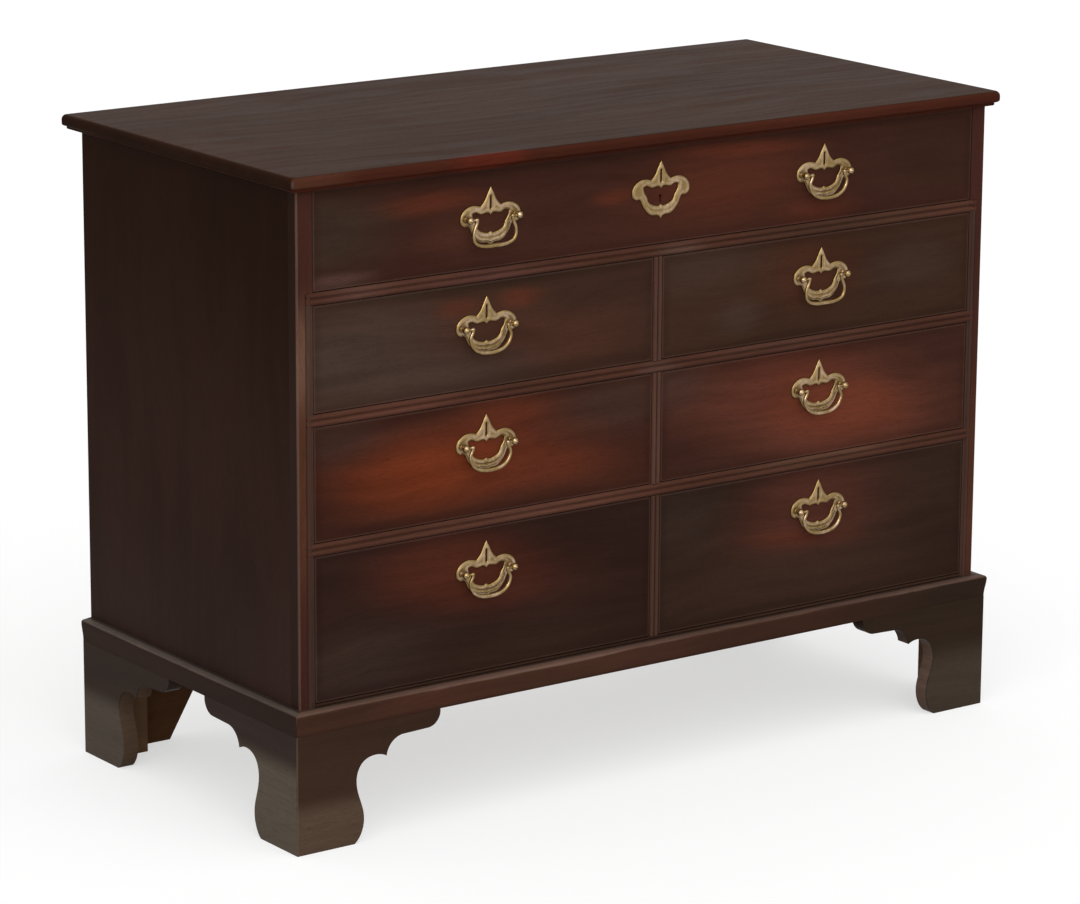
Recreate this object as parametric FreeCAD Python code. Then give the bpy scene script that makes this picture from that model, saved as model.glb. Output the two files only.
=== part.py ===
import FreeCAD, Part
import math
import os

# A Georgian mahogany chest: one long drawer over three rows of paired short drawers, a moulded
# top, double-bead rails, a plinth moulding and ogee bracket feet. Millimetres, +Z up, +X to the
# right of somebody facing the drawers, front towards -Y. The origin is on the floor, under the
# middle of the whole chest.

Vector = FreeCAD.Vector

# ---------------------------------------------------------------- driving dimensions

case_width = 1060.0
case_depth = 488.0
case_top = 806.0
case_floor = 164.0

top_thickness = 19.0
top_overhang = 16.0
top_back_overhang = 22.0
top_corner_radius = 11.0
top_edge_radius = 6.5
top_under_radius = 3.5
top_step_height = 5.0
top_step_overhang = 9.0
top_step_radius = 2.2

side_thickness = 22.0
side_housing = 6.0
stile_depth = 18.0
back_thickness = 10.0
back_rebate = 10.0
back_board_count = 4
back_board_gap = 0.8
back_clearance = 4.0

rail_thickness = 15.0
rail_depth = 64.0
upper_rail_height = 676.0
middle_rail_height = 529.5
lower_rail_height = 372.0
floor_thickness = 18.0
floor_rail_depth = 40.0

bead_radius = 3.2
bead_proud = 2.0
bead_spacing = 8.0
bead_groove = (1.0, 0.8)
stile_bead_inset = 15.5
stile_quirk = (0.8, 0.8)
stile_corner_radius = 2.5
post_bead_radius = 2.8
post_bead_spacing = 6.6
floor_bead_radius = 2.0
floor_bead_proud = 1.6

post_width = 13.0
post_depth = 40.0
post_tenon = 5.0
post_tenon_width = 7.0
post_tenon_inset = 12.0
guide_height = 22.0

runner_width = 45.0
bearer_width = 70.0
panel_thickness = 8.0
panel_tongue = 7.0
stop_size = (30.0, 18.0, 5.0)
stop_clearance = 0.6
top_stop_places = (300.0,)
row_stop_places = (120.0, 400.0)

sub_top_thickness = 15.0
sub_top_rail_depth = 60.0
sub_top_clearance = 1.5
kicker_width = 40.0

plinth_top = 178.0
foot_height = 149.0
plinth_face = 12.0
plinth_nose = 14.5
plinth_nose_radius = 3.6
plinth_nose_low = 157.0
plinth_shelf_fall = 1.2
board_thickness = 22.0
rear_bracket_thickness = 18.0
rear_bracket_floor = 116.0
rear_bracket_top = 205.0
block_size = 38.0
block_lift = 4.0
block_length = 100.0
block_height = 24.0
block_spacing = 2.0

drawer_gap = 1.0
drawer_lift = 0.6
front_thickness = 20.0
front_arris = 0.9
box_thickness = 9.0
box_back_thickness = 8.0
box_end = 462.0
box_top_clearance = 2.0
box_back_drop = 3.0
bottom_thickness = 7.0
bottom_height = 8.0
bottom_groove = 4.0
dovetail_lap = 6.0
dovetail_pitch = 42.0
dovetail_share = 0.26
dovetail_flare = 0.18

row_handle_places = ((-259.5, 259.5), (-259.5, 259.5), (-259.0, 262.5))
row_handle_heights = (611.0, 465.3, 307.0)
top_handle_places = (-254.0, 261.0)
top_handle_height = 743.8
plate_thickness = 2.2
plate_slit = (1.8, 12.5, 29.0)
ball_radius = 4.6
ball_offset = 36.0
ball_standoff = 10.0
ball_lift = 2.8
post_shank_radius = 2.5
post_collar_radius = 4.2
post_collar_length = 2.0
nut_size = 12.0
nut_thickness = 3.5
bolt_beyond_nut = 1.5
bail_radius = 2.3
bail_knuckle_radius = 2.7
bail_pin_radius = 1.70
bail_hole_radius = 1.75
bail_pin_end = 37.4
bail_hole_end = 38.0

escutcheon_place = 2.0
escutcheon_height = 748.7
keyhole_height = 744.0
keyhole_radius = 2.1
keyhole_slot = (2.2, 8.0)
lock_drop = 6.0
lock_plate_size = (60.0, 1.4, 34.0)
lock_case_size = (46.0, 9.0, 30.0)
lock_bolt_size = (20.0, 5.0, 12.0)
lock_bolt_drop = 2.0

# ---------------------------------------------------------------- derived places

half_width = case_width / 2
inner_half = half_width - side_thickness
front_y = -(case_depth + top_back_overhang - top_overhang) / 2
back_y = front_y + case_depth
inner_back_y = back_y - back_thickness
tier_back_y = inner_back_y - back_clearance
floor_top = case_floor + floor_thickness
total_height = case_top + top_thickness
rail_heights = {
    "upper": upper_rail_height,
    "middle": middle_rail_height,
    "lower": lower_rail_height,
}
row_openings = [
    (middle_rail_height + rail_thickness / 2, upper_rail_height - rail_thickness / 2),
    (lower_rail_height + rail_thickness / 2, middle_rail_height - rail_thickness / 2),
    (floor_top, lower_rail_height - rail_thickness / 2),
]

PARTS = {}


def add(name, *solids):
    """Keep one solid, or a group of separate solids, under a node name."""
    PARTS[name] = solids[0] if len(solids) == 1 else Part.makeCompound(list(solids))


# ---------------------------------------------------------------- small helpers

def block(x0, x1, y0, y1, z0, z1):
    """A box between two corners."""
    return Part.makeBox(x1 - x0, y1 - y0, z1 - z0, Vector(x0, y0, z0))


def both_sides(x0, x1, y0, y1, z0, z1):
    """The same box on the right and, mirrored, on the left."""
    return [block(x0, x1, y0, y1, z0, z1), block(-x1, -x0, y0, y1, z0, z1)]


def mirrored(shape):
    """The shape's copy on the other side of the chest."""
    return shape.mirror(Vector(0, 0, 0), Vector(1, 0, 0))


def polygon_prism(points, direction):
    """A flat outline of 3-D points, extruded."""
    return Part.Face(Part.makePolygon(points + [points[0]])).extrude(direction)


def edges_prism(edges, direction):
    """A closed chain of curved and straight edges, extruded."""
    return Part.Face(Part.Wire(edges)).extrude(direction)


def line(a, b):
    return Part.LineSegment(a, b).toShape()


def arc(a, through, b):
    return Part.Arc(a, through, b).toShape()


def spline(points):
    """A smooth curve through a few points."""
    curve = Part.BSplineCurve()
    curve.interpolate(points)
    return curve.toShape()


def mitre_region(side):
    """Everything that belongs to the front or the right side where two boards mitre."""
    reach = 80.0
    inside = half_width - reach
    outside = half_width + reach
    inner_corner = Vector(inside, front_y + reach, 0)
    outer_corner = Vector(outside, front_y - reach, 0)
    if side == "front":
        points = [inner_corner, outer_corner,
                  Vector(-outside, front_y - reach, 0), Vector(-inside, front_y + reach, 0)]
    else:
        points = [inner_corner, outer_corner, Vector(outside, back_y, 0), Vector(inside, back_y, 0)]
    return polygon_prism(points, Vector(0, 0, case_top))


# ---------------------------------------------------------------- top

def top_member(overhang, low, high):
    """One level of the top, with round front corners."""
    slab = block(-half_width - overhang, half_width + overhang, front_y - overhang,
                 back_y + top_back_overhang, low, high)
    corners = [e for e in slab.Edges
               if e.BoundBox.ZLength > (high - low) / 2 and e.BoundBox.YMin < 0]
    return slab.makeFillet(top_corner_radius - top_overhang + overhang, corners)


def top_board():
    """The moulded top: a thumb moulding with a small round, and a narrower step under it."""
    step_high = case_top + top_step_height
    upper = top_member(top_overhang, step_high, total_height)
    upper = upper.makeFillet(top_edge_radius, rim(upper, total_height))
    upper = upper.makeFillet(top_under_radius, rim(upper, step_high))
    step = top_member(top_step_overhang, case_top, step_high)
    step = step.makeFillet(top_step_radius, rim(step, case_top))
    return upper.fuse(step).removeSplitter()


def rim(slab, height):
    """The slab's edges at one height, apart from the one along the back."""
    level = [e for e in slab.Edges
             if e.BoundBox.ZLength < 0.01 and abs(e.BoundBox.ZMin - height) < 0.01]
    return [e for e in level if e.BoundBox.YMin < back_y]


def top_frame():
    """Front and rear rails under the top with the kickers between them, clear of the drawer."""
    low = case_top - sub_top_thickness
    front0 = front_y + front_thickness + sub_top_clearance
    front1 = front0 + sub_top_rail_depth
    rear0 = inner_back_y - sub_top_rail_depth
    front_rail = block(-inner_half, inner_half, front0, front1, low, case_top)
    rear_rail = block(-inner_half, inner_half, rear0, inner_back_y, low, case_top)
    kickers = both_sides(inner_half - kicker_width, inner_half, front1, rear0, low, case_top)
    return [front_rail, rear_rail] + kickers


# ---------------------------------------------------------------- sides, stiles, back

def right_side():
    """A side board, rebated for the back and housed for the rails and the case floor."""
    side = block(inner_half, half_width, front_y + stile_depth, back_y, case_floor, case_top)
    rebate = block(inner_half, half_width - back_rebate, inner_back_y, back_y,
                   case_floor, case_top)
    side = side.cut(rebate)
    for height in rail_heights.values():
        side = side.cut(rail_blank(height))
    return side.cut(floor_board_blank()).cut(floor_rail_blank())


def right_stile():
    """The strip that faces the side's front edge, with a bead along the short drawers."""
    strip = block(inner_half, half_width, front_y, front_y + stile_depth, case_floor, case_top)
    corner = [e for e in strip.Edges if e.BoundBox.ZLength > stile_depth
              and e.BoundBox.XMin > inner_half + 1.0 and e.BoundBox.YMax < front_y + 1.0]
    strip = strip.makeFillet(stile_corner_radius, corner)
    axis_x = half_width - stile_bead_inset
    axis_y = front_y + bead_radius - bead_proud
    bead_low = floor_top - 2 * floor_bead_radius
    bead_high = upper_rail_height + rail_thickness / 2
    bead = Part.makeCylinder(bead_radius, bead_high - bead_low, Vector(axis_x, axis_y, bead_low))
    quirk_width, quirk_depth = stile_quirk
    quirk_x = axis_x + bead_radius - quirk_width / 4
    quirk = block(quirk_x, quirk_x + quirk_width, front_y, front_y + quirk_depth,
                  bead_low, bead_high)
    strip = strip.cut(quirk).fuse(bead)
    for height in rail_heights.values():
        for crossing in rail_beads(height):
            strip = strip.cut(crossing)
    return strip.removeSplitter()


def back_boards():
    """Upright boards nailed into the rebates of the sides."""
    reach = half_width - back_rebate
    pitch = 2 * reach / back_board_count
    boards = []
    for i in range(back_board_count):
        x0 = -reach + i * pitch
        boards.append(block(x0 + back_board_gap / 2, x0 + pitch - back_board_gap / 2,
                            inner_back_y, back_y, case_floor, case_top))
    return boards


# ---------------------------------------------------------------- rails and what lies behind

def rail_blank(height):
    """A rail's outer form: full width behind the stiles, where the sides are housed for it."""
    low = height - rail_thickness / 2
    high = height + rail_thickness / 2
    face = block(-inner_half, inner_half, front_y, front_y + stile_depth, low, high)
    reach = inner_half + side_housing
    body = block(-reach, reach, front_y + stile_depth, front_y + rail_depth, low, high)
    return face.fuse(body).removeSplitter()


def rail_beads(height):
    """The double bead of a rail, which is let into the stiles as far as their own beads."""
    axis_y = front_y + bead_radius - bead_proud
    reach = half_width - stile_bead_inset + bead_radius
    return [Part.makeCylinder(bead_radius, 2 * reach, Vector(-reach, axis_y, height + offset),
                              Vector(1, 0, 0))
            for offset in (-bead_spacing / 2, bead_spacing / 2)]


def rail(height):
    """A rail with its double bead, mortised for the short posts and grooved for the panels."""
    shape = rail_blank(height)
    for bead in rail_beads(height):
        shape = shape.fuse(bead)
    groove_width, groove_depth = bead_groove
    groove = block(-inner_half, inner_half, front_y - bead_proud, front_y + groove_depth,
                   height - groove_width / 2, height + groove_width / 2)
    shape = shape.cut(groove).removeSplitter()
    for post in centre_posts():
        shape = shape.cut(post)
    for panel in dust_panels(height):
        shape = shape.cut(panel)
    return shape


def dust_panels(height):
    """The two thin boards of one tier, tongued into the rail, the runners and the bearer."""
    low = height - panel_thickness / 2
    high = height + panel_thickness / 2
    return both_sides(bearer_width / 2 - panel_tongue, inner_half - runner_width + panel_tongue,
                      front_y + rail_depth - panel_tongue, tier_back_y, low, high)


def dustboard(height, stop_places):
    """One tier behind a rail: runners, a central bearer, two panels and the drawer stops."""
    low = height - rail_thickness / 2
    high = height + rail_thickness / 2
    y0 = front_y + rail_depth
    panels = dust_panels(height)
    timbers = both_sides(inner_half - runner_width, inner_half, y0, tier_back_y, low, high)
    timbers.append(block(-bearer_width / 2, bearer_width / 2, y0, tier_back_y, low, high))
    grooved = [timber.cut(panels[0]).cut(panels[1]) for timber in timbers]
    return grooved + panels + stops(high, stop_places)


def stops(height, places):
    """Small blocks glued on a rail, which the back of a drawer front meets."""
    length, depth, thick = stop_size
    y0 = front_y + front_thickness + stop_clearance
    blocks = []
    for x in places:
        blocks += both_sides(x - length / 2, x + length / 2, y0, y0 + depth, height, height + thick)
    return blocks


def floor_rail_blank():
    """The lowest rail's outer form, between the stiles and housed in the sides."""
    reach = inner_half + side_housing
    face = block(-inner_half, inner_half, front_y, front_y + stile_depth, case_floor, floor_top)
    body = block(-reach, reach, front_y + stile_depth, front_y + floor_rail_depth,
                 case_floor, floor_top)
    return face.fuse(body).removeSplitter()


def bottom_rail():
    """The front edge of the case floor, with the single bead above the plinth."""
    axis_y = front_y + floor_bead_radius - floor_bead_proud
    bead = Part.makeCylinder(floor_bead_radius, 2 * inner_half,
                             Vector(-inner_half, axis_y, floor_top - floor_bead_radius),
                             Vector(1, 0, 0))
    shape = floor_rail_blank().fuse(bead).removeSplitter()
    return shape.cut(centre_posts()[-1])


def floor_board_blank():
    """The case floor behind the lowest rail."""
    reach = inner_half + side_housing
    return block(-reach, reach, front_y + floor_rail_depth, inner_back_y, case_floor, floor_top)


def centre_posts():
    """Three short upright posts between the rails, each with a double bead and two tenons."""
    groove_width, groove_depth = bead_groove
    bead_y = front_y + post_bead_radius - bead_proud
    posts = []
    for low, high in row_openings:
        post = block(-post_width / 2, post_width / 2, front_y, front_y + post_depth, low, high)
        tenon = block(-post_tenon_width / 2, post_tenon_width / 2, front_y + post_tenon_inset,
                      front_y + post_depth, low - post_tenon, high + post_tenon)
        post = post.fuse(tenon)
        for x in (-post_bead_spacing / 2, post_bead_spacing / 2):
            bead = Part.makeCylinder(post_bead_radius, high - low, Vector(x, bead_y, low))
            post = post.fuse(bead)
        groove = block(-groove_width / 2, groove_width / 2, front_y - bead_proud,
                       front_y + groove_depth, low, high)
        posts.append(post.cut(groove).removeSplitter())
    return posts


def drawer_guides():
    """Strips behind the posts that keep the short drawers of a row apart."""
    return [block(-post_width / 2, post_width / 2, front_y + post_depth, tier_back_y,
                  low, low + guide_height) for low, high in row_openings]


# ---------------------------------------------------------------- plinth and feet

def plinth_profile(place):
    """The moulding's section. place(out, z) gives the 3-D point at a distance out of the case."""
    inner = plinth_face - board_thickness
    shelf_end = plinth_nose - plinth_nose_radius
    shelf_z = plinth_top - plinth_shelf_fall
    nose_top = shelf_z - plinth_nose_radius
    round_over = plinth_nose_radius * math.sqrt(0.5)
    step = plinth_nose - plinth_face
    return [
        line(place(inner, foot_height), place(plinth_face, foot_height)),
        line(place(plinth_face, foot_height), place(plinth_face, plinth_nose_low - step)),
        line(place(plinth_face, plinth_nose_low - step), place(plinth_nose, plinth_nose_low)),
        line(place(plinth_nose, plinth_nose_low), place(plinth_nose, nose_top)),
        arc(place(plinth_nose, nose_top), place(shelf_end + round_over, nose_top + round_over),
            place(shelf_end, shelf_z)),
        line(place(shelf_end, shelf_z), place(0, plinth_top)),
        line(place(0, plinth_top), place(0, case_floor)),
        line(place(0, case_floor), place(inner, case_floor)),
        line(place(inner, case_floor), place(inner, foot_height)),
    ]


def plinth_front():
    """The moulding along the front, mitred at both ends."""
    start = -(half_width + 40.0)
    profile = plinth_profile(lambda out, z: Vector(start, front_y - out, z))
    return edges_prism(profile, Vector(-2 * start, 0, 0)).common(mitre_region("front"))


def plinth_right():
    """The moulding along a side, mitred at the front and cut square at the back."""
    start = front_y - 40.0
    profile = plinth_profile(lambda out, z: Vector(half_width + out, start, z))
    return edges_prism(profile, Vector(0, back_y - start, 0)).common(mitre_region("side"))


def foot_outline(place):
    """One ogee bracket, seen flat. place(u, z) gives the point at u from the outer corner."""
    lobe_end = (190.0, 127.8)
    cove_start = (152.0, 126.6)
    cusp = (129.0, 103.5)
    ogee = [cusp, (111.0, 107.6), (94.5, 101.5), (86.0, 86.0),
            (88.0, 62.0), (95.5, 36.0), (93.0, 15.0), (82.0, 0.0)]
    return [
        line(place(0, 0), place(0, foot_height)),
        line(place(0, foot_height), place(208.0, foot_height)),
        arc(place(208.0, foot_height), place(203.5, 134.5), place(*lobe_end)),
        line(place(*lobe_end), place(*cove_start)),
        arc(place(*cove_start), place(136.5, 119.0), place(*cusp)),
        spline([place(*p) for p in ogee]),
        line(place(ogee[-1][0], ogee[-1][1]), place(0, 0)),
    ]


def front_right_foot():
    """Two shaped boards, mitred at the corner."""
    corner_x = half_width + plinth_face
    corner_y = front_y - plinth_face
    face = edges_prism(foot_outline(lambda u, z: Vector(corner_x - u, corner_y, z)),
                       Vector(0, board_thickness, 0)).common(mitre_region("front"))
    flank = edges_prism(foot_outline(lambda u, z: Vector(corner_x, corner_y + u, z)),
                        Vector(-board_thickness, 0, 0)).common(mitre_region("side"))
    return [face, flank]


def rear_right_foot():
    """A shaped side board and a plain bracket with a sloping edge behind it."""
    corner_x = half_width + plinth_face
    flank = edges_prism(foot_outline(lambda u, z: Vector(corner_x, back_y - u, z)),
                        Vector(-board_thickness, 0, 0))
    inside = corner_x - board_thickness
    y0 = back_y - rear_bracket_thickness
    bracket = polygon_prism([Vector(inside, y0, 0), Vector(inside, y0, case_floor),
                             Vector(corner_x - rear_bracket_top, y0, case_floor),
                             Vector(corner_x - rear_bracket_top, y0, foot_height),
                             Vector(corner_x - rear_bracket_floor, y0, 0)],
                            Vector(0, rear_bracket_thickness, 0))
    return [flank, bracket]


def glue_blocks():
    """Upright blocks in the foot corners and flat ones under the case floor, both sides."""
    inside_x = half_width + plinth_face - board_thickness
    inside_y = front_y - plinth_face + board_thickness
    rear_y = back_y - rear_bracket_thickness
    flat_low = case_floor - block_height
    blocks = []
    for y0, y1 in ((inside_y, inside_y + block_size), (rear_y - block_size, rear_y)):
        blocks += both_sides(inside_x - block_size, inside_x, y0, y1, block_lift, case_floor)
    along_x = inside_x - block_size - block_spacing
    blocks += both_sides(along_x - block_length, along_x, inside_y, inside_y + block_height,
                         flat_low, case_floor)
    beside_front = inside_y + block_size + block_spacing
    beside_rear = rear_y - block_size - block_spacing - block_length
    for y0 in (beside_front, beside_rear):
        blocks += both_sides(inside_x - block_height, inside_x, y0, y0 + block_length,
                             flat_low, case_floor)
    return blocks


# ---------------------------------------------------------------- drawers

def dovetails(x0, x1, tip_y, root_y, z0, z1):
    """Tails along one upright edge, narrow at the root and wider at the tip."""
    count = max(2, round((z1 - z0) / dovetail_pitch))
    pitch = (z1 - z0) / count
    root = pitch * dovetail_share
    tip = root + abs(root_y - tip_y) * dovetail_flare
    tails = []
    for i in range(count):
        zc = z0 + (i + 0.5) * pitch
        tails.append(polygon_prism([Vector(x0, root_y, zc - root), Vector(x0, root_y, zc + root),
                                    Vector(x0, tip_y, zc + tip), Vector(x0, tip_y, zc - tip)],
                                   Vector(x1 - x0, 0, 0)))
    return tails


def box_side(x0, x1, z0, z1):
    """One drawer side: lapped dovetails into the front, through dovetails into the back."""
    root_front = front_y + front_thickness
    root_back = front_y + box_end - box_back_thickness
    shape = block(x0, x1, root_front, root_back, z0, z1)
    tails = dovetails(x0, x1, front_y + dovetail_lap, root_front, z0, z1)
    panel_high = z0 + bottom_height + bottom_thickness
    tails += dovetails(x0, x1, front_y + box_end, root_back, panel_high, z1)
    return shape.multiFuse(tails).removeSplitter()


def drawer(name, x0, x1, z0, z1, side_top, handles, lock=False):
    """One drawer in the opening x0..x1, z0..z1, named by its place in the chest."""
    left = x0 + drawer_gap
    right = x1 - drawer_gap
    low = z0 + drawer_gap
    high = z1 - drawer_gap
    run = z0 + drawer_lift
    front = block(left, right, front_y, front_y + front_thickness, low, high)
    arrises = [e for e in front.Edges if abs(e.BoundBox.YMax - front_y) < 0.01]
    front = front.makeFillet(front_arris, arrises)
    sides = [box_side(left, left + box_thickness, run, side_top),
             box_side(right - box_thickness, right, run, side_top)]
    panel_low = run + bottom_height
    panel_high = panel_low + bottom_thickness
    bottom = block(left + box_thickness - bottom_groove, right - box_thickness + bottom_groove,
                   front_y + front_thickness - bottom_groove, front_y + box_end,
                   panel_low, panel_high)
    back = block(left, right, front_y + box_end - box_back_thickness, front_y + box_end,
                 panel_high, side_top - box_back_drop)
    for side in sides:
        front = front.cut(side)
        back = back.cut(side)
    front = front.cut(bottom)
    sides = [side.cut(bottom) for side in sides]
    fittings = []
    for bail_name, x, z, bail_path in handles:
        centre = Vector(x, front_y, z)
        posts = handle_posts(centre)
        for post in posts:
            front = front.cut(post)
        fittings += [handle_plate(centre, posts)] + posts + handle_nuts(centre, posts)
        add(bail_name, bail(centre, bail_path))
    if lock:
        fittings.append(escutcheon())
        front = front.cut(keyhole()).cut(lock_pocket(high))
        add(name + "_lock", *drawer_lock(high))
    add(name + "_front", front)
    add(name + "_box", *(sides + [back]))
    add(name + "_bottom", bottom)
    add(name + "_fittings", *fittings)


# ---------------------------------------------------------------- brass

# Half of a bail's centre line, from the knuckle beside the ball down to the middle below,
# counted from the pivot: the swag shape most of them have, and the squarer, deeper one of two.
swag_bail = [(26.0, 0.9), (26.4, -3.6), (29.4, -9.6), (28.6, -17.4), (23.8, -24.4), (14.6, -29.4),
             (0.0, -31.2)]
deep_bail = [(26.0, 0.9), (26.4, -3.8), (29.6, -11.5), (31.0, -19.5), (28.6, -27.4), (20.5, -32.0),
             (0.0, -33.4)]


def plate_half_outline(place):
    """Right half of the openwork plate's rim, from the spike's tip to the drop below."""
    notch = (15.0, 16.8)
    spike = [(0.0, 40.0), (4.6, 32.0), (8.8, 23.5), notch]
    scroll = (37.8, -6.6)
    swag = (7.2, -28.0)
    shoulder = [notch, (25.0, 18.8), (35.0, 16.4), (42.0, 10.6), (44.5, 3.4), (42.6, -3.6), scroll]
    arm = [scroll, (33.0, -6.4), (28.6, -13.2), (22.6, -21.6), (15.6, -27.0), swag]
    drop = [swag, (3.2, -29.4), (0.0, -33.2)]
    return [spline([place(*p) for p in run]) for run in (spike, shoulder, arm, drop)]


def plate_half_opening(place):
    """Right half of the open centre, from its top drop round to the crest below."""
    corner = (26.6, 8.4)
    upper = [(0.0, 4.6), (3.4, 7.6), (9.0, 7.4), (15.0, 6.8), (22.0, 9.6), corner]
    lower = [corner, (25.2, 2.0), (21.2, -4.2), (19.0, -9.8), (13.6, -13.8), (7.4, -15.8),
             (3.0, -16.0), (0.0, -14.2)]
    return [spline([place(*p) for p in run]) for run in (upper, lower)]


def symmetric_prism(half_outline, centre):
    """Close a half outline with its mirror image and give it the plate's thickness."""
    right = half_outline(lambda u, v: Vector(centre.x + u, centre.y, centre.z + v))
    left = half_outline(lambda u, v: Vector(centre.x - u, centre.y, centre.z + v))
    wire = Part.Wire(Part.__sortEdges__(right + left))
    return Part.Face(wire).extrude(Vector(0, -plate_thickness, 0))


def plate_blank(centre):
    """The openwork plate: spike with its slit, scrolled arms, open centre, swag and drop."""
    plate = symmetric_prism(plate_half_outline, centre)
    opening = symmetric_prism(plate_half_opening, centre)
    slit_width, slit_low, slit_high = plate_slit
    slit = block(centre.x - slit_width / 2, centre.x + slit_width / 2,
                 centre.y - plate_thickness, centre.y, centre.z + slit_low, centre.z + slit_high)
    return plate.cut(opening).cut(slit)


def handle_plate(centre, posts):
    """A plate with the two holes its posts go through."""
    plate = plate_blank(centre)
    for post in posts:
        plate = plate.cut(post)
    return plate


def handle_posts(centre):
    """Two turned posts: ball head bored for the bail, neck, collar and the bolt through."""
    posts = []
    for side in (-1, 1):
        x = centre.x + side * ball_offset
        z = centre.z + ball_lift
        ball_y = centre.y - ball_standoff
        head = Part.makeSphere(ball_radius, Vector(x, ball_y, z))
        shank_end = centre.y + front_thickness + nut_thickness + bolt_beyond_nut
        shank = Part.makeCylinder(post_shank_radius, shank_end - ball_y, Vector(x, ball_y, z),
                                  Vector(0, 1, 0))
        collar = Part.makeCylinder(post_collar_radius, post_collar_length,
                                   Vector(x, centre.y - plate_thickness - post_collar_length, z),
                                   Vector(0, 1, 0))
        hole_start = Vector(centre.x + side * bail_hole_end, ball_y, z)
        hole = Part.makeCylinder(bail_hole_radius, 2 * ball_radius, hole_start, Vector(-side, 0, 0))
        posts.append(head.fuse(shank).fuse(collar).removeSplitter().cut(hole))
    return posts


def handle_nuts(centre, posts):
    """Square nuts on the bolts, inside the drawer."""
    nuts = []
    half = nut_size / 2
    y0 = centre.y + front_thickness
    for side, post in zip((-1, 1), posts):
        x = centre.x + side * ball_offset
        z = centre.z + ball_lift
        nut = block(x - half, x + half, y0, y0 + nut_thickness, z - half, z + half)
        nuts.append(nut.cut(post))
    return nuts


def bail(centre, half_path):
    """The swinging loop: a round bar bent through half_path and its mirror image, two pins."""
    plane_y = centre.y - ball_standoff
    pivot_z = centre.z + ball_lift

    def at(u, v):
        return Vector(centre.x + u, plane_y, pivot_z + v)

    left = [at(-u, v) for u, v in half_path]
    right = [at(u, v) for u, v in reversed(half_path[:-1])]
    path = Part.Wire([spline(left + right)])
    tangent = path.Edges[0].tangentAt(path.Edges[0].FirstParameter)
    section = Part.Wire([Part.makeCircle(bail_radius, left[0], tangent)])
    shape = path.makePipeShell([section], True, False)
    reach = half_path[0][0]
    for side in (-1, 1):
        knuckle = Part.makeSphere(bail_knuckle_radius, at(side * reach, half_path[0][1]))
        pin = Part.makeCylinder(bail_pin_radius, bail_pin_end - reach, at(side * reach, 0),
                                Vector(side, 0, 0))
        shape = shape.fuse(knuckle).fuse(pin)
    return shape.removeSplitter()


def escutcheon():
    """The plate over the keyhole, with no posts and no bail."""
    return plate_blank(Vector(escutcheon_place, front_y, escutcheon_height))


def keyhole():
    """The hole through the drawer front behind the escutcheon's open centre."""
    width, height = keyhole_slot
    x = escutcheon_place
    hole = Part.makeCylinder(keyhole_radius, front_thickness, Vector(x, front_y, keyhole_height),
                             Vector(0, 1, 0))
    slot = block(x - width / 2, x + width / 2, front_y, front_y + front_thickness,
                 keyhole_height - height, keyhole_height)
    return hole.fuse(slot)


def lock_pocket(front_top):
    """The recess in the back of the drawer front that the lock is let into."""
    width, depth, height = lock_case_size
    x = escutcheon_place
    y1 = front_y + front_thickness
    z1 = front_top - lock_drop
    return block(x - width / 2, x + width / 2, y1 - depth, y1, z1 - height, z1)


def drawer_lock(front_top):
    """Brass plate, case and the bolt drawn back inside it."""
    plate_w, plate_t, plate_h = lock_plate_size
    bolt_w, bolt_d, bolt_h = lock_bolt_size
    x = escutcheon_place
    y1 = front_y + front_thickness
    z1 = front_top - lock_drop
    bolt_y = y1 - (lock_case_size[1] + bolt_d) / 2
    bolt_top = z1 - lock_bolt_drop
    bolt = block(x - bolt_w / 2, x + bolt_w / 2, bolt_y, bolt_y + bolt_d,
                 bolt_top - bolt_h, bolt_top)
    case = lock_pocket(front_top).cut(bolt)
    plate = block(x - plate_w / 2, x + plate_w / 2, y1, y1 + plate_t, z1 - plate_h, z1)
    return [plate, case, bolt]


# ---------------------------------------------------------------- the whole chest

add("top_board", top_board())
add("top_frame", *top_frame())
add("right_side", right_side())
add("left_side", mirrored(right_side()))
add("front_stiles", right_stile(), mirrored(right_stile()))
add("back_boards", *back_boards())
add("bottom_rail", bottom_rail())
add("bottom_board", floor_board_blank(), *stops(floor_top, row_stop_places))
for tier, height in rail_heights.items():
    add(tier + "_rail", rail(height))
    places = top_stop_places if tier == "upper" else row_stop_places
    add(tier + "_dustboard", *dustboard(height, places))
add("centre_posts", *(centre_posts() + drawer_guides()))

add("plinth_front", plinth_front())
add("plinth_right", plinth_right())
add("plinth_left", mirrored(plinth_right()))
add("front_right_foot", *front_right_foot())
add("front_left_foot", *[mirrored(s) for s in front_right_foot()])
add("rear_right_foot", *rear_right_foot())
add("rear_left_foot", *[mirrored(s) for s in rear_right_foot()])
add("glue_blocks", *glue_blocks())

top_left, top_right = top_handle_places
drawer("top_drawer", -inner_half, inner_half, upper_rail_height + rail_thickness / 2, case_top,
       case_top - sub_top_thickness - box_top_clearance,
       [("top_drawer_left_bail", top_left, top_handle_height, deep_bail),
        ("top_drawer_right_bail", top_right, top_handle_height, swag_bail)], lock=True)

for row, (low, high), places, height in zip(("upper", "middle", "lower"), row_openings,
                                            row_handle_places, row_handle_heights):
    for side, sign, place in zip(("left", "right"), (-1, 1), places):
        name = "%s_%s_drawer" % (row, side)
        x0, x1 = sorted((sign * post_width / 2, sign * inner_half))
        path = deep_bail if name == "upper_right_drawer" else swag_bail
        drawer(name, x0, x1, low, high, high - box_top_clearance,
               [(name + "_bail", place, height, path)])

os.makedirs("parts", exist_ok=True)
for node, shape in PARTS.items():
    shape.exportStep("parts/%s.step" % node)

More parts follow.
